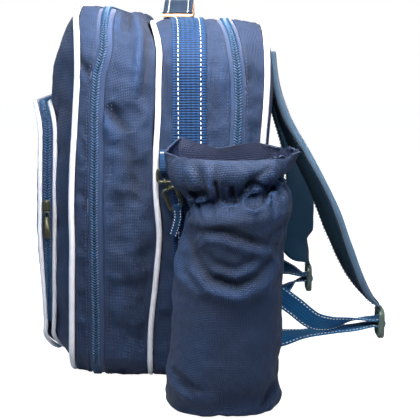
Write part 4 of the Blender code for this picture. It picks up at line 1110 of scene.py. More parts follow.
def panelGrid(half, top, foot, topRadius, footRadius, rings, columns, surface, reach):
    # Nested outlines from a seam to the middle, with their depth from a surface of (x, z)
    middle = np.array([0.0, (top + foot) / 2])
    lines = []
    for r in range(rings + 1):
        share = r / rings
        inset = reach * min(share * 1.35, 1.0)
        path = outlinePath(half - inset, top - inset, foot + inset, max(topRadius - inset, 0.004),
                           max(footRadius - inset, 0.004), closed=True)
        path, _ = evenPath(path, columns, closed=True)
        if share * 1.35 > 1:
            path = middle + (path - middle) * max(1 - (share * 1.35 - 1) / 0.35, 0.0)
        lines.append(np.stack([path[:, 0], surface(path[:, 0], path[:, 1]), path[:, 1]], axis=1))
    grid = np.array(lines)
    uv = np.concatenate([grid[..., [0, 2]], grid[:, :1, [0, 2]]], axis=1)
    return grid, uv


def panelPiece(name, grid, uv, outward):
    piece = gridPiece(name, grid, uv, closed=True)
    shaped = bmesh.new()
    shaped.from_mesh(piece.data)
    bmesh.ops.remove_doubles(shaped, verts=shaped.verts, dist=2e-5)
    bmesh.ops.recalc_face_normals(shaped, faces=shaped.faces)
    facing = sum(face.normal.dot(Vector(outward)) for face in shaped.faces)
    if facing < 0:
        bmesh.ops.reverse_faces(shaped, faces=shaped.faces)
    shaped.to_mesh(piece.data)
    shaped.free()
    return piece


def edgePoints(piece):
    shaped = bmesh.new()
    shaped.from_mesh(piece.data)
    found = np.array([vertex.is_boundary for vertex in shaped.verts])
    shaped.free()
    return found


def buildPanel(node, label, gridAndUv, outward, settle, wavesAt, wall, alsoPinned=None):
    # A panel that settles between its seams, then gets its fine waves and its wall
    piece = panelPiece(f"{node}_{label}", *gridAndUv, outward)
    pinned = edgePoints(piece)
    if alsoPinned:
        pinned = pinned | alsoPinned(coordsOf(piece))
    relaxCloth(piece, pinned, **settle)
    refine(piece)
    pushOut(piece, wavesAt(coordsOf(piece)))
    giveWall(piece, wall)
    return finishPiece(piece, cloth, [node])


def frontWaves(points):
    inside = np.clip((frontSeam["yTop"] - points[:, 1]) / 0.02, 0, 1)
    return (smoothNoise(points * np.array([1, 1, 0.7]), 38, 31) * 0.0010 * inside
            + smoothNoise(points, 120, 32) * 0.0003 * inside)


def backWaves(points):
    return smoothNoise(points, 36, 35) * 0.0009 * np.clip((points[:, 1] - rearSeam["yTop"]) / 0.004, 0, 1)


def underPocket(points):
    return (np.abs(points[:, 0]) < 0.095) & (points[:, 2] < 0.262)


frontPanel = dict(grow=0.025, pressure=1.6, reach=0.0030)
piece = buildPanel(
    "front_panel", "cloth", panelGrid(*seamOutline(frontSeam), 26, 150, frontSurface, dome["shoulder"]),
    (0, -1, 0), frontPanel, frontWaves, clothWall, underPocket)

backPad = dict(grow=0.02, pressure=1.5, reach=0.0025)
piece = buildPanel("back_panel", "pad", panelGrid(*seamOutline(rearSeam), 18, 150, backSurface, 0.09),
                   (0, 1, 0), backPad, backWaves, 0.005)

lines = []
stations = [ringBetween(part["fore"], part["aft"], r / 4) for part in gussets for r in range(5)]
for ring in stations:
    edge = ring["half"] - ring["foot"] + 0.0004
    drift = float(driftOf(ring["yFoot"], 0.0))
    lines.append([(edge * (1 - 2 * c / 20), ring["yFoot"] + drift, 0.0) for c in range(21)])
grid = np.array(lines)
piece = gridPiece("base_panel_cloth", grid, grid[..., :2])
giveWall(piece, 0.0020)
found = coordsOf(piece)
found[:, 2] -= found[:, 2].min()
setCoords(piece, found)
finishPiece(sealPiece(piece, False), cloth, ["base_panel"])
print("panels ready")


# The front pocket
pocket = dict(width=0.208, topAt=0.268, footAt=0.018, topRadius=0.034, footRadius=0.030, zipWidth=0.0095,
              zipEndWidth=0.0030, zipFootAt=0.052, pipingRadius=0.0022, gap=0.0008)
pocketRoom = pocket["pipingRadius"] + pack["seamGap"]


def pocketOutline(inset):
    # The pocket's half width, top, foot and corner radii
    return (pocket["width"] / 2 - inset, pocket["topAt"] - inset, pocket["footAt"] + inset,
            pocket["topRadius"] - inset, pocket["footRadius"] - inset)


def pocketZipWidth(z):
    share = np.clip((z - pocket["zipFootAt"]) / (3 * pocket["footRadius"]), 0, 1)
    return lerp(pocket["zipEndWidth"], pocket["zipWidth"], share)


def pocketPoint(x, z, reach):
    step = 0.0005
    slopeX = (frontSurface(x + step, z) - frontSurface(x - step, z)) / (2 * step)
    slopeZ = (frontSurface(x, z + step) - frontSurface(x, z - step)) / (2 * step)
    normal = unitRows(np.stack([slopeX, -np.ones_like(slopeX), slopeZ], axis=1))
    seat = pocket["gap"] + pocket["pipingRadius"]
    base = np.stack([x, frontSurface(x, z), z], axis=1) + normal * seat
    base[:, 1] -= reach
    return base


def pocketFrontReach(z):
    return 2 * pocketRoom + pocketZipWidth(z)


def buildPocketPiping(node, reachOf):
    path = evenPath(outlinePath(*pocketOutline(0), closed=True), piping["columns"], closed=True)[0]
    points = pocketPoint(path[:, 0], path[:, 1], reachOf(path[:, 1]))
    points[:, 1] += smoothNoise(points, 30, 14) * 0.0004
    pipingPiece(node, points, pocket["pipingRadius"], 12, True, 15)


buildPocketPiping("pocket_rear_piping", lambda z: np.zeros_like(z))
buildPocketPiping("pocket_front_piping", pocketFrontReach)

path = outlinePath(pocket["width"] / 2, pocket["topAt"], pocket["zipFootAt"] - pocket["footRadius"],
                   pocket["topRadius"], pocket["footRadius"])
path = evenPath(path[path[:, 1] >= pocket["zipFootAt"] - 1e-6], 330)[0]
outs = pathNormals(path)
outs3 = np.stack([outs[:, 0], np.zeros(len(outs)), outs[:, 1]], axis=1)
lines = []
for share, rise in ((-0.14, -0.0008), (0.0, 0.0), (0.3, 0.0004), (0.7, 0.0004), (1.0, 0.0), (1.14, -0.0008)):
    reach = pocketRoom + pocketZipWidth(path[:, 1]) * share
    lines.append(pocketPoint(path[:, 0], path[:, 1], reach) + outs3 * rise)
grid = np.array(lines)
tape = gridPiece("pocket_zip_tape", grid, stripUv(grid, 0.62, 0.012))
giveWall(tape, zipChain["tapeThickness"])
finishPiece(sealPiece(tape, False), tapeCloth, ["pocket_zip"])
middleLine = pocketPoint(path[:, 0], path[:, 1], pocketRoom + pocketZipWidth(path[:, 1]) / 2) + outs3 * 0.0011
across = np.tile((0.0, 1.0, 0.0), (len(path), 1))
repeatPiece("pocket_zip_teeth", toothTree, chainPlaces(middleLine, across, outs3),
            zipChain["toothLength"] * 0.95, zipChain["toothWidth"], zipChain["toothHeight"], zipCoil,
            seed=9)


def pocketFaceSurface(x, z):
    # The face lies flat beside its side pipings and swells slowly towards the middle
    shape = np.shape(x)
    x, z = np.ravel(x), np.ravel(z)
    half = pocket["width"] / 2
    rim = insideDistance(x, z, *pocketOutline(0))
    edge = pocketPoint(x, z, pocketFrontReach(z) - 0.0006)[:, 1]
    side = pocketPoint(np.full_like(x, half), z, pocketFrontReach(z) - 0.0016)[:, 1]
    middle = pocketPoint(np.zeros_like(x), z, pocketFrontReach(z))[:, 1]
    share = np.clip((half - np.abs(x)) / (half * 0.9), 0, 1)
    face = lerp(side, middle, eased(share))
    keep = np.exp(-((rim - pocketRoom) / 0.006) ** 2)
    return lerp(face, edge, keep).reshape(shape)


def pocketWaves(points):
    rim = insideDistance(points[:, 0], points[:, 2], *pocketOutline(pocketRoom))
    return (smoothNoise(points * np.array([1, 1, 0.6]), 42, 41) * 0.0013
            + smoothNoise(points, 130, 42) * 0.0003) * np.clip(rim / 0.012, 0, 1)


pocketFace = dict(grow=0.03, pressure=1.8, reach=0.0040)
piece = buildPanel(
    "pocket_face", "cloth", panelGrid(*pocketOutline(pocketRoom), 22, 140, pocketFaceSurface, 0.07),
    (0, -1, 0), pocketFace, pocketWaves, clothWall)
print("pocket ready")


# Side webbing and handle
def webbingPath(side):
    # From the floor up the side and over the top edge to the handle's foot, where it drifts forward
    ring = makeRing(sideWebbing["centre"], sideWebbing["centre"])
    seat = sideWebbing["seat"] + sideWebbing["thickness"] / 2
    path = outlinePath(ring["half"], ring["top"], 0.0, pack["topRadius"], ring["foot"])
    reach = sideWebbing["handleSpan"] / 2 - sideWebbing["width"]
    path = path[(path[:, 0] > reach)]
    path = evenPath(path, 240)[0]
    normals = pathNormals(path)
    keep = path[:, 1] >= 0.004
    path, normals = path[keep], normals[keep]
    share = np.clip((pack["halfWidth"] - path[:, 0]) / (pack["halfWidth"] - reach), 0, 1)
    y = sideWebbing["centre"] - (sideWebbing["centre"] - sideWebbing["handleCentre"]) * share ** 2
    points = np.stack([path[:, 0] * side, y, path[:, 1]], axis=1)
    outs = np.stack([normals[:, 0] * side, np.zeros(len(path)), normals[:, 1]], axis=1)
    return points + outs * seat, outs


def edgeStitches(name, path, across, out, widths, inset, lift, kind, finish, seed):
    # A row of stitches near each edge of a strip
    pitch, length, width = sewing[kind]
    places = []
    for side in (-1, 1):
        line = path + across * (side * (widths - inset))[:, None] + out * lift
        places += alongPath(line, out, pitch, pitch)
    return repeatPiece(name, stitchTree, places, length, width, 0.0007, finish, seed=seed)


def buildSideWebbing(node, side):
    path, out = webbingPath(side)
    across = np.cross(out, unitRows(np.gradient(path, axis=0)))
    shape = flatShape(sideWebbing["width"], sideWebbing["thickness"])
    piece = refine(sweepPiece(node + "_strip", path, across, out, shape))
    found = coordsOf(piece)
    pushOut(piece, smoothNoise(found, 70, 51) * 0.00025)
    finishPiece(piece, ladderWebbing, [node])
    edgeStitches(node + "_stitches", path, across, out, np.full(len(path), sideWebbing["width"] / 2),
                 sideWebbing["stitchIn"], sideWebbing["thickness"] / 2 + 0.0001, "webbing", whiteThread,
                 31)


buildSideWebbing("side_webbing_near", 1)
buildSideWebbing("side_webbing_far", -1)

handle = dict(centre=0.0032, width=0.030, span=0.156, rise=0.015, foot=0.020, leatherWidth=0.0309,
              leatherThickness=0.0026, overhang=0.006)
ringTop = makeRing(handle["centre"] + handle["width"] / 2, handle["centre"] + handle["width"] / 2)["top"]
handleBase = ringTop + sideWebbing["seat"] + sideWebbing["thickness"] + pack["seamGap"]


def buildHandle(node, level, span, width, thickness, material):
    x = np.linspace(-span / 2, span / 2, 90)
    share = np.clip(1 - np.abs(x) / (handle["span"] / 2 - handle["foot"]), 0, 1)
    z = level + handle["rise"] * share ** 2 * (3 - 2 * share)
    path = np.stack([x, np.full(len(x), handle["centre"]), z], axis=1)
    across, out = framesOn(path, (0, 1, 0))
    out *= np.sign(out[:, 2:3])
    piece = sweepPiece(node + "_strip", path, across, out, flatShape(width, thickness))
    piece = refine(piece)
    pushOut(piece, smoothNoise(coordsOf(piece), 80, 52) * 0.0002)
    finishPiece(piece, material, [node])
    return path, across, out


buildHandle("handle_leather", handleBase + handle["leatherThickness"] / 2,
            handle["span"] + 2 * handle["overhang"], handle["leatherWidth"], handle["leatherThickness"],
            tanLeather)
path, across, out = buildHandle(
    "handle_webbing", handleBase + handle["leatherThickness"] + pack["seamGap"] + sideWebbing["thickness"] / 2,
    handle["span"], handle["width"], sideWebbing["thickness"], handleWebbing)
edgeStitches("handle_stitches", path, across, out, np.full(len(path), handle["width"] / 2), 0.0052,
             sideWebbing["thickness"] / 2 + 0.0001, "webbing", whiteThread, 33)
print("webbing and handle ready")


# Shoulder straps, locks and the webbing below them
strap = dict(width=0.060, thickness=0.010, edge=0.0036)
strapColumns = ("x", "y", "z", "roll", "width", "thick")
nearStrap = rowsOf(
    strapColumns, (0.050, 0.0973, 0.318, 0, 0.96, 0.80), (0.051, 0.0998, 0.290, 0, 1.00, 1.00),
    (0.053, 0.1100, 0.253, -4, 1.00, 1.00), (0.056, 0.1290, 0.215, -11, 1.00, 1.00),
    (0.060, 0.1545, 0.164, -14, 1.00, 1.00), (0.064, 0.1720, 0.119, -13, 0.96, 1.00),
    (0.068, 0.1885, 0.084, -8, 0.84, 1.00), (0.071, 0.2020, 0.066, -2, 0.60, 0.70),
    (0.072, 0.2105, 0.0583, 0, 0.46, 0.35))
farStrap = rowsOf(
    strapColumns, (-0.050, 0.0973, 0.318, 0, 0.96, 0.80), (-0.051, 0.0998, 0.290, 0, 1.00, 1.00),
    (-0.053, 0.1090, 0.253, 4, 1.00, 1.00), (-0.056, 0.1240, 0.215, 14, 1.00, 1.00),
    (-0.060, 0.1370, 0.172, 30, 1.00, 1.00), (-0.064, 0.1365, 0.122, 46, 0.98, 1.00),
    (-0.068, 0.1400, 0.092, 40, 0.86, 1.00), (-0.071, 0.1488, 0.079, 16, 0.60, 0.70),
    (-0.072, 0.1518, 0.0702, 0, 0.46, 0.35))


def buildStrap(node, table):
    path, (roll, widths, thicks) = smoothTable(table, 110, "roll", "width", "thick")
    across, out = framesOn(path, (1, 0, 0), roll)
    shape = flatShape(strap["width"], strap["thickness"] * 0.62, 16, strap["thickness"] * 0.20)
    piece = sweepPiece(node + "_pad", path, across, out, shape, widths, thicks)
    inset = strap["width"] / 2 - strap["edge"]
    # Only the edge towards +Y takes the lighter binding colour: the binding, with a painted highlight where
    # that edge catches the light
    outward = 1 if across[len(path) // 2, 1] > 0 else -1
    columns = len(shape)
    for face in piece.data.polygons:
        if len(face.vertices) == 4:
            column = min(v % columns for v in face.vertices)
            onLitEdge = min(shape[column, 0] * outward, shape[(column + 1) % columns, 0] * outward) > inset
            face.material_index = 1 if onLitEdge else 0
    piece = refine(piece)
    found = coordsOf(piece)
    pushOut(piece, smoothNoise(found, 50, 55) * 0.0006)
    finishPiece(piece, [strapCloth, strapEdgeHighlight], [node])
    edgeStitches(node + "_stitches", path, across, out, widths * strap["width"] / 2, strap["edge"] + 0.0015,
                 strap["thickness"] * 0.31 + 0.0012, "strap", navyThread, 41)


buildStrap("shoulder_strap_near", nearStrap)
buildStrap("shoulder_strap_far", farStrap)

lock = dict(width=0.030, height=0.031, thickness=0.0060, rail=0.0035, corner=0.0060,
            near=(0.072, 0.2120, 0.0405), far=(-0.072, 0.1520, 0.0525))


def loopPath(width, height, corner, steps=7):
    points = []
    for quarter, (a, b) in enumerate(((1, 1), (-1, 1), (-1, -1), (1, -1))):
        for step in range(steps + 1):
            angle = math.radians(90 * quarter + 90 * step / steps)
            points.append((a * (width / 2 - corner) + corner * math.cos(angle),
                           b * (height / 2 - corner) + corner * math.sin(angle)))
    return evenPath(np.array(points), 72, closed=True)[0]


def joinPieces(name, pieces):
    # One mesh from several
    shaped = bmesh.new()
    for piece in pieces:
        shaped.from_mesh(piece.data)
        bpy.data.objects.remove(piece)
    mesh = bpy.data.meshes.new(name)
    shaped.to_mesh(mesh)
    shaped.free()
    return linkPiece(name, mesh)


def buildLock(node, centre):
    rail = lock["rail"]
    loop = loopPath(lock["width"] - rail, lock["height"] - rail, lock["corner"])
    path = np.stack([loop[:, 0] + centre[0], np.full(len(loop), centre[1]), loop[:, 1] + centre[2]], axis=1)
    across, out = framesOn(path, (0, 1, 0), closed=True)
    turn = 2 * np.pi * np.arange(16) / 16
    squarish = np.stack([np.sign(np.cos(turn)) * np.abs(np.cos(turn)) ** 0.5 * lock["thickness"] / 2,
                         np.sign(np.sin(turn)) * np.abs(np.sin(turn)) ** 0.6 * rail / 2], axis=1)
    frameRing = sweepPiece(node + "_ring", path, across, out, squarish, closed=True)
    x = np.linspace(-lock["width"] / 2 + rail * 0.6, lock["width"] / 2 - rail * 0.6, 24)
    bar = np.stack([x + centre[0], np.full(len(x), centre[1]), np.full(len(x), centre[2])], axis=1)
    across, out = framesOn(bar, (0, 1, 0))
    middle = sweepPiece(node + "_bar", bar, across, out, squarish * np.array([0.9, 0.9]))
    piece = joinPieces(node + "_frame", [frameRing, middle])
    piece.data.polygons.foreach_set("use_smooth", [True] * len(piece.data.polygons))
    finishPiece(piece, buckleNylon, [node])


buildLock("ladder_lock_near", lock["near"])
buildLock("ladder_lock_far", lock["far"])

lower = dict(width=0.020, thickness=0.0014)
loopRise = lock["rail"] / 2 + lower["thickness"] / 2 + pack["seamGap"]
loopOut = lock["thickness"] / 2 + lower["thickness"] / 2 + pack["seamGap"]


def lockLoop(place, first):
    x, y, z = place
    return [(x, y - 0.0070, z + first * loopRise, 0, 1.0), (x, y + loopOut * 0.8, z + first * loopRise, 0, 1.0),
            (x, y + loopOut, z, 0, 1.0), (x, y + loopOut * 0.8, z - first * loopRise, 0, 1.0),
            (x, y - 0.0070, z - first * loopRise, 0, 1.0)]


webbingColumns = ("x", "y", "z", "roll", "width")
nearWebbing = rowsOf(
    webbingColumns, (0.098, 0.0945, 0.0300, 80, 1.0), (0.096, 0.1060, 0.0305, 50, 1.0),
    (0.090, 0.1250, 0.0320, 16, 1.0), (0.084, 0.1550, 0.0345, 6, 1.0), (0.078, 0.1850, 0.0360, 3, 1.0),
    *lockLoop(lock["near"], -1),
    (0.078, 0.1850, 0.0440, 20, 1.0), (0.092, 0.1580, 0.0440, 62, 1.0), (0.101, 0.1420, 0.0490, 80, 1.0),
    (0.104, 0.1200, 0.0660, 88, 1.0), (0.104, 0.1030, 0.0790, 88, 1.0))
farWebbing = rowsOf(
    webbingColumns, (-0.098, 0.0953, 0.0660, 80, 1.0), (-0.094, 0.1060, 0.0650, 70, 1.0),
    (-0.082, 0.1300, 0.0590, 30, 1.0), *lockLoop(lock["far"], 1), (-0.076, 0.1340, 0.0455, 20, 1.0),
    (-0.084, 0.1250, 0.0360, 60, 1.0), (-0.088, 0.1160, 0.0260, 84, 1.0), (-0.090, 0.1060, 0.0170, 88, 1.0))


def buildLowerWebbing(node, table):
    path, (roll, widths) = smoothTable(table, 260, "roll", "width")
    across, out = framesOn(path, (1, 0, 0), roll)
    shape = flatShape(lower["width"], lower["thickness"], 6)
    piece = sweepPiece(node + "_strip", path, across, out, shape, widths)
    finishPiece(piece, fineWebbing, [node])
    for label, lift in (("face", 1), ("back", -1)):
        edgeStitches(f"{node}_{label}_stitches", path, across, out * lift, widths * lower["width"] / 2, 0.0022,
                     lower["thickness"] / 2 + 0.0001, "lower", whiteThread, 43)


buildLowerWebbing("lower_webbing_near", nearWebbing)
buildLowerWebbing("lower_webbing_far", farWebbing)
print("straps and buckles ready")


# The bottle tote
tote = dict(height=0.232, width=0.120, depth=0.100, footAt=0.0025, centre=0.052, gathers=19, gatherDepth=0.0042,
            gatherAt=0.845, tilt=0.0095, sag=0.002, tiltReach=0.13, backFlatness=5.0, backAt=0.14644,
            wall=clothWall, columns=150, rows=72, grow=0.04, pressure=0.8, reach=0.0034)
toteSections = rowsOf(
    ("up", "front", "rear", "out", "gathers", "roundness"), (0.000, -0.410, 0.335, 0.84, 0.00, 2.6),
    (0.012, -0.455, 0.365, 0.92, 0.00, 2.6), (0.035, -0.468, 0.400, 0.93, 0.00, 2.4),
    (0.070, -0.468, 0.348, 0.94, 0.00, 2.6), (0.140, -0.455, 0.360, 0.95, 0.00, 2.6),
    (0.250, -0.432, 0.386, 0.93, 0.00, 2.6), (0.400, -0.406, 0.386, 0.92, 0.02, 2.6),
    (0.510, -0.388, 0.392, 0.93, 0.03, 2.6), (0.620, -0.350, 0.422, 0.93, 0.06, 2.6),
    (0.710, -0.312, 0.448, 0.96, 0.16, 2.6), (0.775, -0.306, 0.456, 0.985, 0.35, 2.6),
    (0.812, -0.306, 0.446, 0.955, 0.75, 2.6), (0.845, -0.312, 0.404, 0.87, 1.00, 2.5),
    (0.872, -0.340, 0.420, 0.900, 0.85, 2.4), (0.905, -0.405, 0.470, 0.975, 0.50, 2.3),
    (0.950, -0.455, 0.510, 0.995, 0.22, 2.2), (1.000, -0.470, 0.520, 0.950, 0.05, 2.0))
# The open rim, drawn round from its middle towards the pack's back: a lens with a folded corner at each end
toteRim = rowsOf(
    ("turn", "x", "y", "z"), (0, 0.2370, 0.0500, 0.2292), (28, 0.2350, 0.0689, 0.2288),
    (58, 0.2270, 0.1000, 0.2316), (80, 0.2080, 0.1138, 0.2334), (98, 0.1880, 0.1090, 0.2356),
    (125, 0.1600, 0.1075, 0.2306), (160, 0.1475, 0.0774, 0.2362), (200, 0.1475, 0.0420, 0.2300),
    (238, 0.1490, 0.0070, 0.2405), (276, 0.2060, -0.0060, 0.2325), (306, 0.2280, 0.0110, 0.2308),
    (335, 0.2350, 0.0313, 0.2296), (360, 0.2370, 0.0500, 0.2292))


def toteRing(up, columns, shrink=1.0):
    front, rear, deep, gathers, roundness = (float(tableCurve(toteSections, "up", key, up)) for key in
                                             ("front", "rear", "out", "gathers", "roundness"))
    middle = tote["centre"] + tote["width"] * (front + rear) / 2
    halfWidth, halfDepth = tote["width"] * (rear - front) / 2, tote["depth"] * deep / 2
    angle = 2 * np.pi * np.arange(columns) / columns
    out, along = np.cos(angle), np.sin(angle)
    power = np.where(out > 0, 2 / roundness, 2 / tote["backFlatness"])
    uneven = smoothNoise(np.stack([out * 2, along * 2, np.full(columns, up * 1.5)], axis=1), 1.0, 61)
    wander = tote["gathers"] * angle + 2.2 * uneven + 3.0 * up
    pleat = ((1 + np.cos(wander)) / 2) ** 1.6
    fold = pleat * gathers * tote["gatherDepth"] * (1 + 0.5 * uneven) * (out > -0.6)
    x = np.sign(out) * np.abs(out) ** power * (halfDepth - fold)
    y = np.sign(along) * np.abs(along) ** (2 / roundness) * (halfWidth - fold)
    # The elastic line climbs towards the pack's back and sags in the middle
    near = math.exp(-((up - tote["gatherAt"]) / tote["tiltReach"]) ** 2)
    droop = near * (tote["tilt"] * along - tote["sag"] * np.maximum(out, 0))
    level = tote["footAt"] + tote["height"] * up + droop
    points = np.stack([tote["backAt"] + halfDepth + x * shrink, middle + y * shrink, level], axis=1)
    share = min(max((up - 0.91) / (1 - 0.91), 0), 1)
    if share > 0:
        turns = np.degrees(angle)
        rim = np.stack([np.interp(turns, [row["turn"] for row in toteRim], [row[key] for row in toteRim])
                        for key in ("x", "y", "z")], axis=1)
        rim = (np.roll(rim, 1, axis=0) + 2 * rim + np.roll(rim, -1, axis=0)) / 4
        points[:, :2] = points[:, :2] * (1 - eased(share)) + rim[:, :2] * eased(share)
        points[:, 2] = points[:, 2] * (1 - share) + rim[:, 2] * share
    return points


def buildTote():
    columns = tote["columns"]
    lines, ups = [], []
    for shrink in (0.02, 0.35, 0.7, 0.92):
        lines.append(toteRing(0.0, columns, shrink))
        ups.append(-0.05 * (1 - shrink))
    for r in range(tote["rows"] + 1):
        up = r / tote["rows"]
        lines.append(toteRing(up, columns))
        ups.append(up)
    grid = np.array(lines)
    uv = np.zeros((len(lines), columns + 1, 2))
    uv[..., 0] = runOf(np.vstack([grid[40], grid[40][:1]]))
    uv[..., 1] = np.array(ups)[:, None] * tote["height"]
    piece = gridPiece("bottle_tote_cloth", grid, uv, closed=True)
    row, column = np.divmod(np.arange(len(lines) * columns), columns)
    up = np.array(ups)[row]
    start = coordsOf(piece)
    back = start[:, 0] < tote["backAt"] + 0.004
    pinned = (up <= 0.012) | (np.abs(up - tote["gatherAt"]) < 0.02) | (up > 0.985) | back
    start += smoothNoise(start, 55, 62)[:, None] * np.array([[0.0014, 0.0014, 0.0]]) * (~pinned)[:, None]
    setCoords(piece, start)
    relaxCloth(piece, pinned, tote["grow"], tote["pressure"], tote["reach"], stiffness=10, bending=0.2)
    found = coordsOf(piece)
    found[:, 0] = np.maximum(found[:, 0], tote["backAt"])
    setCoords(piece, found)
    refine(piece)
    found = coordsOf(piece)
    face = np.clip((found[:, 0] - tote["backAt"] - 0.012) / 0.02, 0, 1)
    push = creaseDepth(found[:, 1], found[:, 2], toteFolds) * face
    push += smoothNoise(found * np.array([1, 1, 0.7]), 60, 64) * 0.0010 * np.clip(face + 0.3, 0, 1)
    push += smoothNoise(found, 190, 65) * 0.0004
    pushOut(piece, push)
    # Painted shade in the folds' valleys and painted highlight on their ridges, for the cloth's colour
    paintFoldShade(piece, push)
    found = coordsOf(piece)
    found[:, 2] = np.maximum(found[:, 2], 0.0021)
    found[:, 0] = np.maximum(found[:, 0], tote["backAt"] - 0.0005)
    setCoords(piece, found)
    piece.data.materials.append(cloth)
    # The inside faces take the darker navy: painted shade inside the tote
    piece.data.materials.append(clothInsideShade)
    giveWall(piece, tote["wall"], insideSlot=1)
    finishPiece(piece, [cloth, clothInsideShade], ["bottle_tote"])
    return piece


# Folds on the tote's face as lines of (y, z): pits at the elastic, soft folds in the collar, crescents below
toteFolds = foldsOf(
    (0.0022, 0.0060, (0.0168, 0.1989), (0.0254, 0.1981), (0.0338, 0.2014)),
    (0.0020, 0.0056, (0.0380, 0.2125), (0.0414, 0.2049), (0.0422, 0.1972), (0.0389, 0.1912)),
    (0.0017, 0.0046, (0.0531, 0.2083), (0.0540, 0.1998), (0.0557, 0.1930)),
    (0.0019, 0.0052, (0.0591, 0.1938), (0.0633, 0.2023), (0.0700, 0.2082), (0.0776, 0.2088), (0.0820,
     0.2061)), (0.0019, 0.0054, (0.0795, 0.1933), (0.0829, 0.1992), (0.0863, 0.2024), (0.0916, 0.2036)),
    (0.0019, 0.0044, (0.0907, 0.2063), (0.0960, 0.2104), (0.1026, 0.2131)),
    (0.0016, 0.0036, (0.0448, 0.1955), (0.0515, 0.1930), (0.0591, 0.1947)),
    (0.0016, 0.0036, (0.0659, 0.1929), (0.0727, 0.1902), (0.0795, 0.1925)),
    (0.0024, 0.0036, (0.0099, 0.1904), (0.0151, 0.1849), (0.0168, 0.1764)),
    (0.0036, 0.0024, (0.0414, 0.2278), (0.0414, 0.2176), (0.0422, 0.2066)),
    (0.0036, 0.0028, (0.0649, 0.2049), (0.0759, 0.2165), (0.0878, 0.2245)),
    (0.0036, 0.0022, (0.0212, 0.2273), (0.0271, 0.2173), (0.0296, 0.2047)),
    (0.0042, 0.0032, (0.0210, 0.1646), (0.0321, 0.1695), (0.0457, 0.1698), (0.0610, 0.1646), (0.0798,
     0.1579), (0.0996, 0.1534)),
    (0.0056, 0.0054, (0.0150, 0.1623), (0.0227, 0.1438), (0.0372, 0.1287), (0.0578, 0.1227), (0.0749,
     0.1293), (0.0852, 0.1417), (0.0913, 0.1515)),
    (0.0044, 0.0028, (0.0270, 0.1528), (0.0389, 0.1419), (0.0560, 0.1367), (0.0696, 0.1426), (0.0782,
     0.1510)), (0.0042, 0.0026, (0.0070, 0.1540), (0.0157, 0.1307), (0.0312, 0.1161)),
    (0.0034, 0.0032, (0.0017, 0.0434), (0.0108, 0.0312), (0.0241, 0.0235)),
    (0.0026, 0.0018, (0.0072, 0.0421), (0.0179, 0.0318), (0.0303, 0.0268)),
    (0.0030, 0.0034, (0.0813, 0.0076), (0.0884, 0.0184), (0.0919, 0.0297)),
    (0.0034, 0.0020, (0.1031, 0.1806), (0.0956, 0.1701), (0.0850, 0.1610)))
totePiece = buildTote()
print("tote ready")


# The clip between the pack and the tote
clip = dict(y=-0.0058, topAt=0.228, tabWidth=0.0110, tabLength=0.018, toteTabWidth=0.0080,
            tabThickness=0.0013, ringWidth=0.0160, ringHeight=0.0115, ringWire=0.0014, ringCorner=0.0030,
            eyeRadius=0.0034, eyeWire=0.0012, shank=0.0030, hookLength=0.0200, hookWidth=0.0125,
            hookWire=0.0018, lean=24.0)


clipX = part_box("clip_ring")[0][0] + clip["ringWire"]
barAt = clip["topAt"] - clip["tabLength"]
ringFoot = barAt - clip["ringHeight"]
eyeAt = ringFoot + clip["ringWire"] + 0.0002 - (clip["eyeRadius"] - clip["eyeWire"])
hookTop = eyeAt - clip["eyeRadius"] - clip["shank"]
hookFoot = hookTop - clip["hookLength"]


def wirePiece(name, loop, middle, radius, plane):
    # A closed wire through a loop (a, b) that stands in the YZ or XZ plane
    flat = np.full(len(loop), 0.0)
    if plane == "YZ":
        path = np.stack([flat + middle[0], loop[:, 0] + middle[1], loop[:, 1] + middle[2]], axis=1)
        lay = (1, 0, 0)
    else:
        path = np.stack([loop[:, 0] + middle[0], flat + middle[1], loop[:, 1] + middle[2]], axis=1)
        lay = (0, 1, 0)
    across, out = framesOn(path, lay, closed=True)
    return sweepPiece(name, path, across, out, roundShape(radius, 12), closed=True)


ring = wirePiece("clip_ring_wire", loopPath(clip["ringWidth"], clip["ringHeight"], clip["ringCorner"]),
                 (clipX, clip["y"], (barAt + ringFoot) / 2), clip["ringWire"], "YZ")
finishPiece(ring, oliveBrass, ["clip_ring"])

hookLoop = loopPath(clip["hookWidth"], clip["hookLength"], 0.0032)
body = wirePiece("hookBody", hookLoop, (clipX, clip["y"], hookTop - clip["hookLength"] / 2),
                 clip["hookWire"], "YZ")
eye = wirePiece("hookEye", loopPath(2 * clip["eyeRadius"], 2 * clip["eyeRadius"], clip["eyeRadius"] * 0.98),
                (clipX, clip["y"], eyeAt), clip["eyeWire"], "XZ")
z = np.linspace(hookTop - 0.0006, eyeAt - clip["eyeRadius"] + 0.0006, 9)
shank = np.stack([np.full(9, clipX), np.full(9, clip["y"]), z], axis=1)
across, out = framesOn(shank, (0, 1, 0))
neckRadii = 0.0019 + 0.0007 * np.cos(np.linspace(0, 4 * np.pi, 9))
neck = sweepPiece("hookNeck", shank, across, out, roundShape(1.0, 14), neckRadii, neckRadii)
lever = np.stack([np.full(8, clipX + clip["hookWire"] + 0.0006),
                  np.full(8, clip["y"] + clip["hookWidth"] / 2 - 0.0004),
                  np.linspace(hookTop - 0.0055, hookTop - 0.0105, 8)], axis=1)
across, out = framesOn(lever, (0, 1, 0))
thumbRadii = np.sin(np.linspace(0.5, 2.6, 8)) + 0.2
thumb = sweepPiece("hookThumb", lever, across, out, roundShape(0.0011, 10), thumbRadii, thumbRadii)
hook = joinPieces("snap_hook_cast", [body, eye, neck, thumb])
hook.data.polygons.foreach_set("use_smooth", [True] * len(hook.data.polygons))


def leaned(y, z):
    # The hook swings about its eye, towards the tote
    angle = math.radians(clip["lean"])
    dy, dz = y - clip["y"], z - eyeAt
    return (clip["y"] + dy * math.cos(angle) - dz * math.sin(angle),
            eyeAt + dy * math.sin(angle) + dz * math.cos(angle))


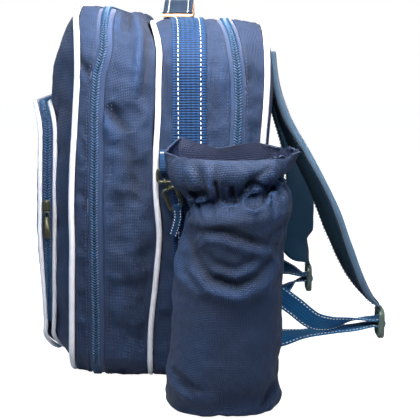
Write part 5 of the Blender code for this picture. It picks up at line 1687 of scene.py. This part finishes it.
found = coordsOf(hook)
found[:, 1], found[:, 2] = leaned(found[:, 1], found[:, 2])
setCoords(hook, found)
finishPiece(hook, oliveBrass, ["snap_hook"])


def tabPiece(node, rows, width):
    path, (roll,) = smoothTable(rows, 90, "roll")
    across, out = framesOn(path, (0, 1, 0), roll)
    piece = sweepPiece(node + "_strip", path, across, out, flatShape(width, clip["tabThickness"], 6))
    finishPiece(piece, tabWebbing, [node])
    return path, across, out


def tabRow(x, y, z, roll=0):
    return dict(x=x, y=y, z=z, roll=roll)


def roundBar(y, z, reach, start):
    # Half a turn of webbing round a bar, from start degrees
    angles = [math.radians(start - 180 * step / 6) for step in range(7)]
    return [tabRow(clipX + reach * math.cos(angle), y, z + reach * math.sin(angle)) for angle in angles]


reach = clip["ringWire"] + pack["seamGap"] + clip["tabThickness"] / 2
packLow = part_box("pack_tab")[0]
inner = packLow[0] + clip["tabThickness"] / 2
rows = [tabRow(inner + clip["tabThickness"] + pack["seamGap"], clip["y"], clip["topAt"]),
        *roundBar(clip["y"], barAt, reach, 0), tabRow(inner, clip["y"], clip["topAt"])]
tabPiece("pack_tab", rows, clip["tabWidth"])

# The tab's sewn end has bars of white thread across it
places = []
for level in (clip["topAt"] - 0.0022, clip["topAt"] - 0.0085):
    low, high = rows[0], rows[1]
    share = (clip["topAt"] - level) / (clip["topAt"] - barAt)
    x = lerp(low["x"], high["x"], share) + clip["tabThickness"] / 2 + 0.0003
    for step in range(6):
        y = clip["y"] + clip["tabWidth"] * (step / 5 - 0.5) * 0.82
        places.append(((x, y, level), (0, 1, 0), (1, 0, 0)))
repeatPiece("pack_tab_stitches", stitchTree, places, 0.0019, 0.0011, 0.0008, whiteThread,
            seed=51)

reach = clip["hookWire"] + pack["seamGap"] + clip["tabThickness"] / 2
footY, footZ = leaned(clip["y"], hookFoot)
rows = [tabRow(clipX - reach, footY, footZ - clip["tabThickness"] * 2), *roundBar(footY, footZ, reach, 180),
        tabRow(clipX + reach + 0.0010, footY + 0.0004, footZ - 0.008, 4),
        tabRow(clipX + reach + 0.0024, footY - 0.0012, footZ - 0.016, 10),
        tabRow(clipX + reach + 0.0030, footY - 0.0040, footZ - 0.025, 14)]
path, across, out = tabPiece("tote_tab", rows, clip["toteTabWidth"])
keep = path[:, 2] < footZ - 0.001
edgeStitches("tote_tab_stitches", path[keep], across[keep], out[keep],
             np.full(keep.sum(), clip["toteTabWidth"] / 2), 0.0014, clip["tabThickness"] / 2 + 0.0001, "tab",
             whiteThread, 53)

low, high = (np.array(corner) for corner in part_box("back_tab"))
middle = (low + high) / 2
rows = [tabRow(middle[0], middle[1], z) for z in np.linspace(low[2], high[2], 8)]
path, _ = smoothTable(rows, 24)
across, out = framesOn(path, (0, 1, 0))
piece = sweepPiece("back_tab_strip", path, across, out, flatShape(high[1] - low[1], high[0] - low[0], 6))
finishPiece(piece, fineWebbing, ["back_tab"])


# Zip sliders and pulls
def slabPiece(name, centre, size, axes, corner, hole=None, pinch=0.0):
    # A rounded slab: size is (thick, wide, long), and axes are its directions in that order
    thick, wide, long_ = size
    loop = loopPath(wide, long_, corner)
    loop[:, 0] *= 1 - pinch * np.clip(loop[:, 1] / long_ + 0.5, 0, 1)
    axes = [np.array(axis, float) for axis in axes]
    rings = []
    for level, inset in ((-0.5, 0.0007), (-0.32, 0.0), (0.32, 0.0), (0.5, 0.0007)):
        scale = 1 - 2 * inset / np.array([wide, long_])
        rings.append(centre + axes[0] * (level * thick) + loop[:, :1] * scale[0] * axes[1]
                     + loop[:, 1:] * scale[1] * axes[2])
    if hole:
        holeLoop = loopPath(hole[0], hole[1], min(hole) * 0.42) + np.array([0.0, hole[2]])
        for level in (0.5, -0.5):
            rings.append(centre + axes[0] * (level * thick) + holeLoop[:, :1] * axes[1]
                         + holeLoop[:, 1:] * axes[2])
        rings.append(rings[0])
    grid = np.array(rings)
    uv = np.zeros((len(rings), grid.shape[1] + 1, 2))
    piece = gridPiece(name, grid, uv, closed=True)
    return sealPiece(piece, fill=not hole)


def buildPull(zipName, side):
    low, high = (np.array(corner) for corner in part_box(zipName + "_slider"))
    middle, size = (low + high) / 2, high - low
    wander = float(driftOf(middle[1], middle[2]))
    middle[1] += wander
    axes = ((1, 0, 0), (0, 1, 0), (0, 0, 1))
    lowPlate = slabPiece("plate", middle - np.array([side * size[0] * 0.20, 0, 0]),
                         (size[0] * 0.5, size[1], size[2]), axes, size[1] * 0.42, pinch=0.25)
    turn = np.linspace(0, np.pi, 12)
    bridge = np.stack([middle[0] + side * (size[0] * 0.02 + size[0] * 0.34 * np.sin(turn)),
                       np.full(12, middle[1]), middle[2] + size[2] * 0.40 * np.cos(turn)], axis=1)
    across, out = framesOn(bridge, (0, 1, 0))
    crownBar = sweepPiece("bridge", bridge, across, out, roundShape(1.0, 10), np.full(12, 0.0014),
                          np.full(12, 0.0007))
    piece = joinPieces(zipName + "_slider_cast", [lowPlate, crownBar])
    finishPiece(piece, oliveBrass, [zipName + "_slider"])
    low, high = (np.array(corner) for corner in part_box(zipName + "_pull"))
    middle, size = (low + high) / 2, high - low
    middle[1] += wander
    piece = slabPiece(zipName + "_pull_cast", middle, tuple(size), axes, size[1] * 0.40,
                      hole=(size[1] * 0.42, size[1] * 0.62, size[2] * 0.36), pinch=0.22)
    finishPiece(piece, oliveBrass, [zipName + "_pull"])


for zipName, side in (("front_zip", -1), ("rear_zip", -1), ("pocket_zip", 1)):
    buildPull(zipName, side)
print("clip, tabs and pulls ready")
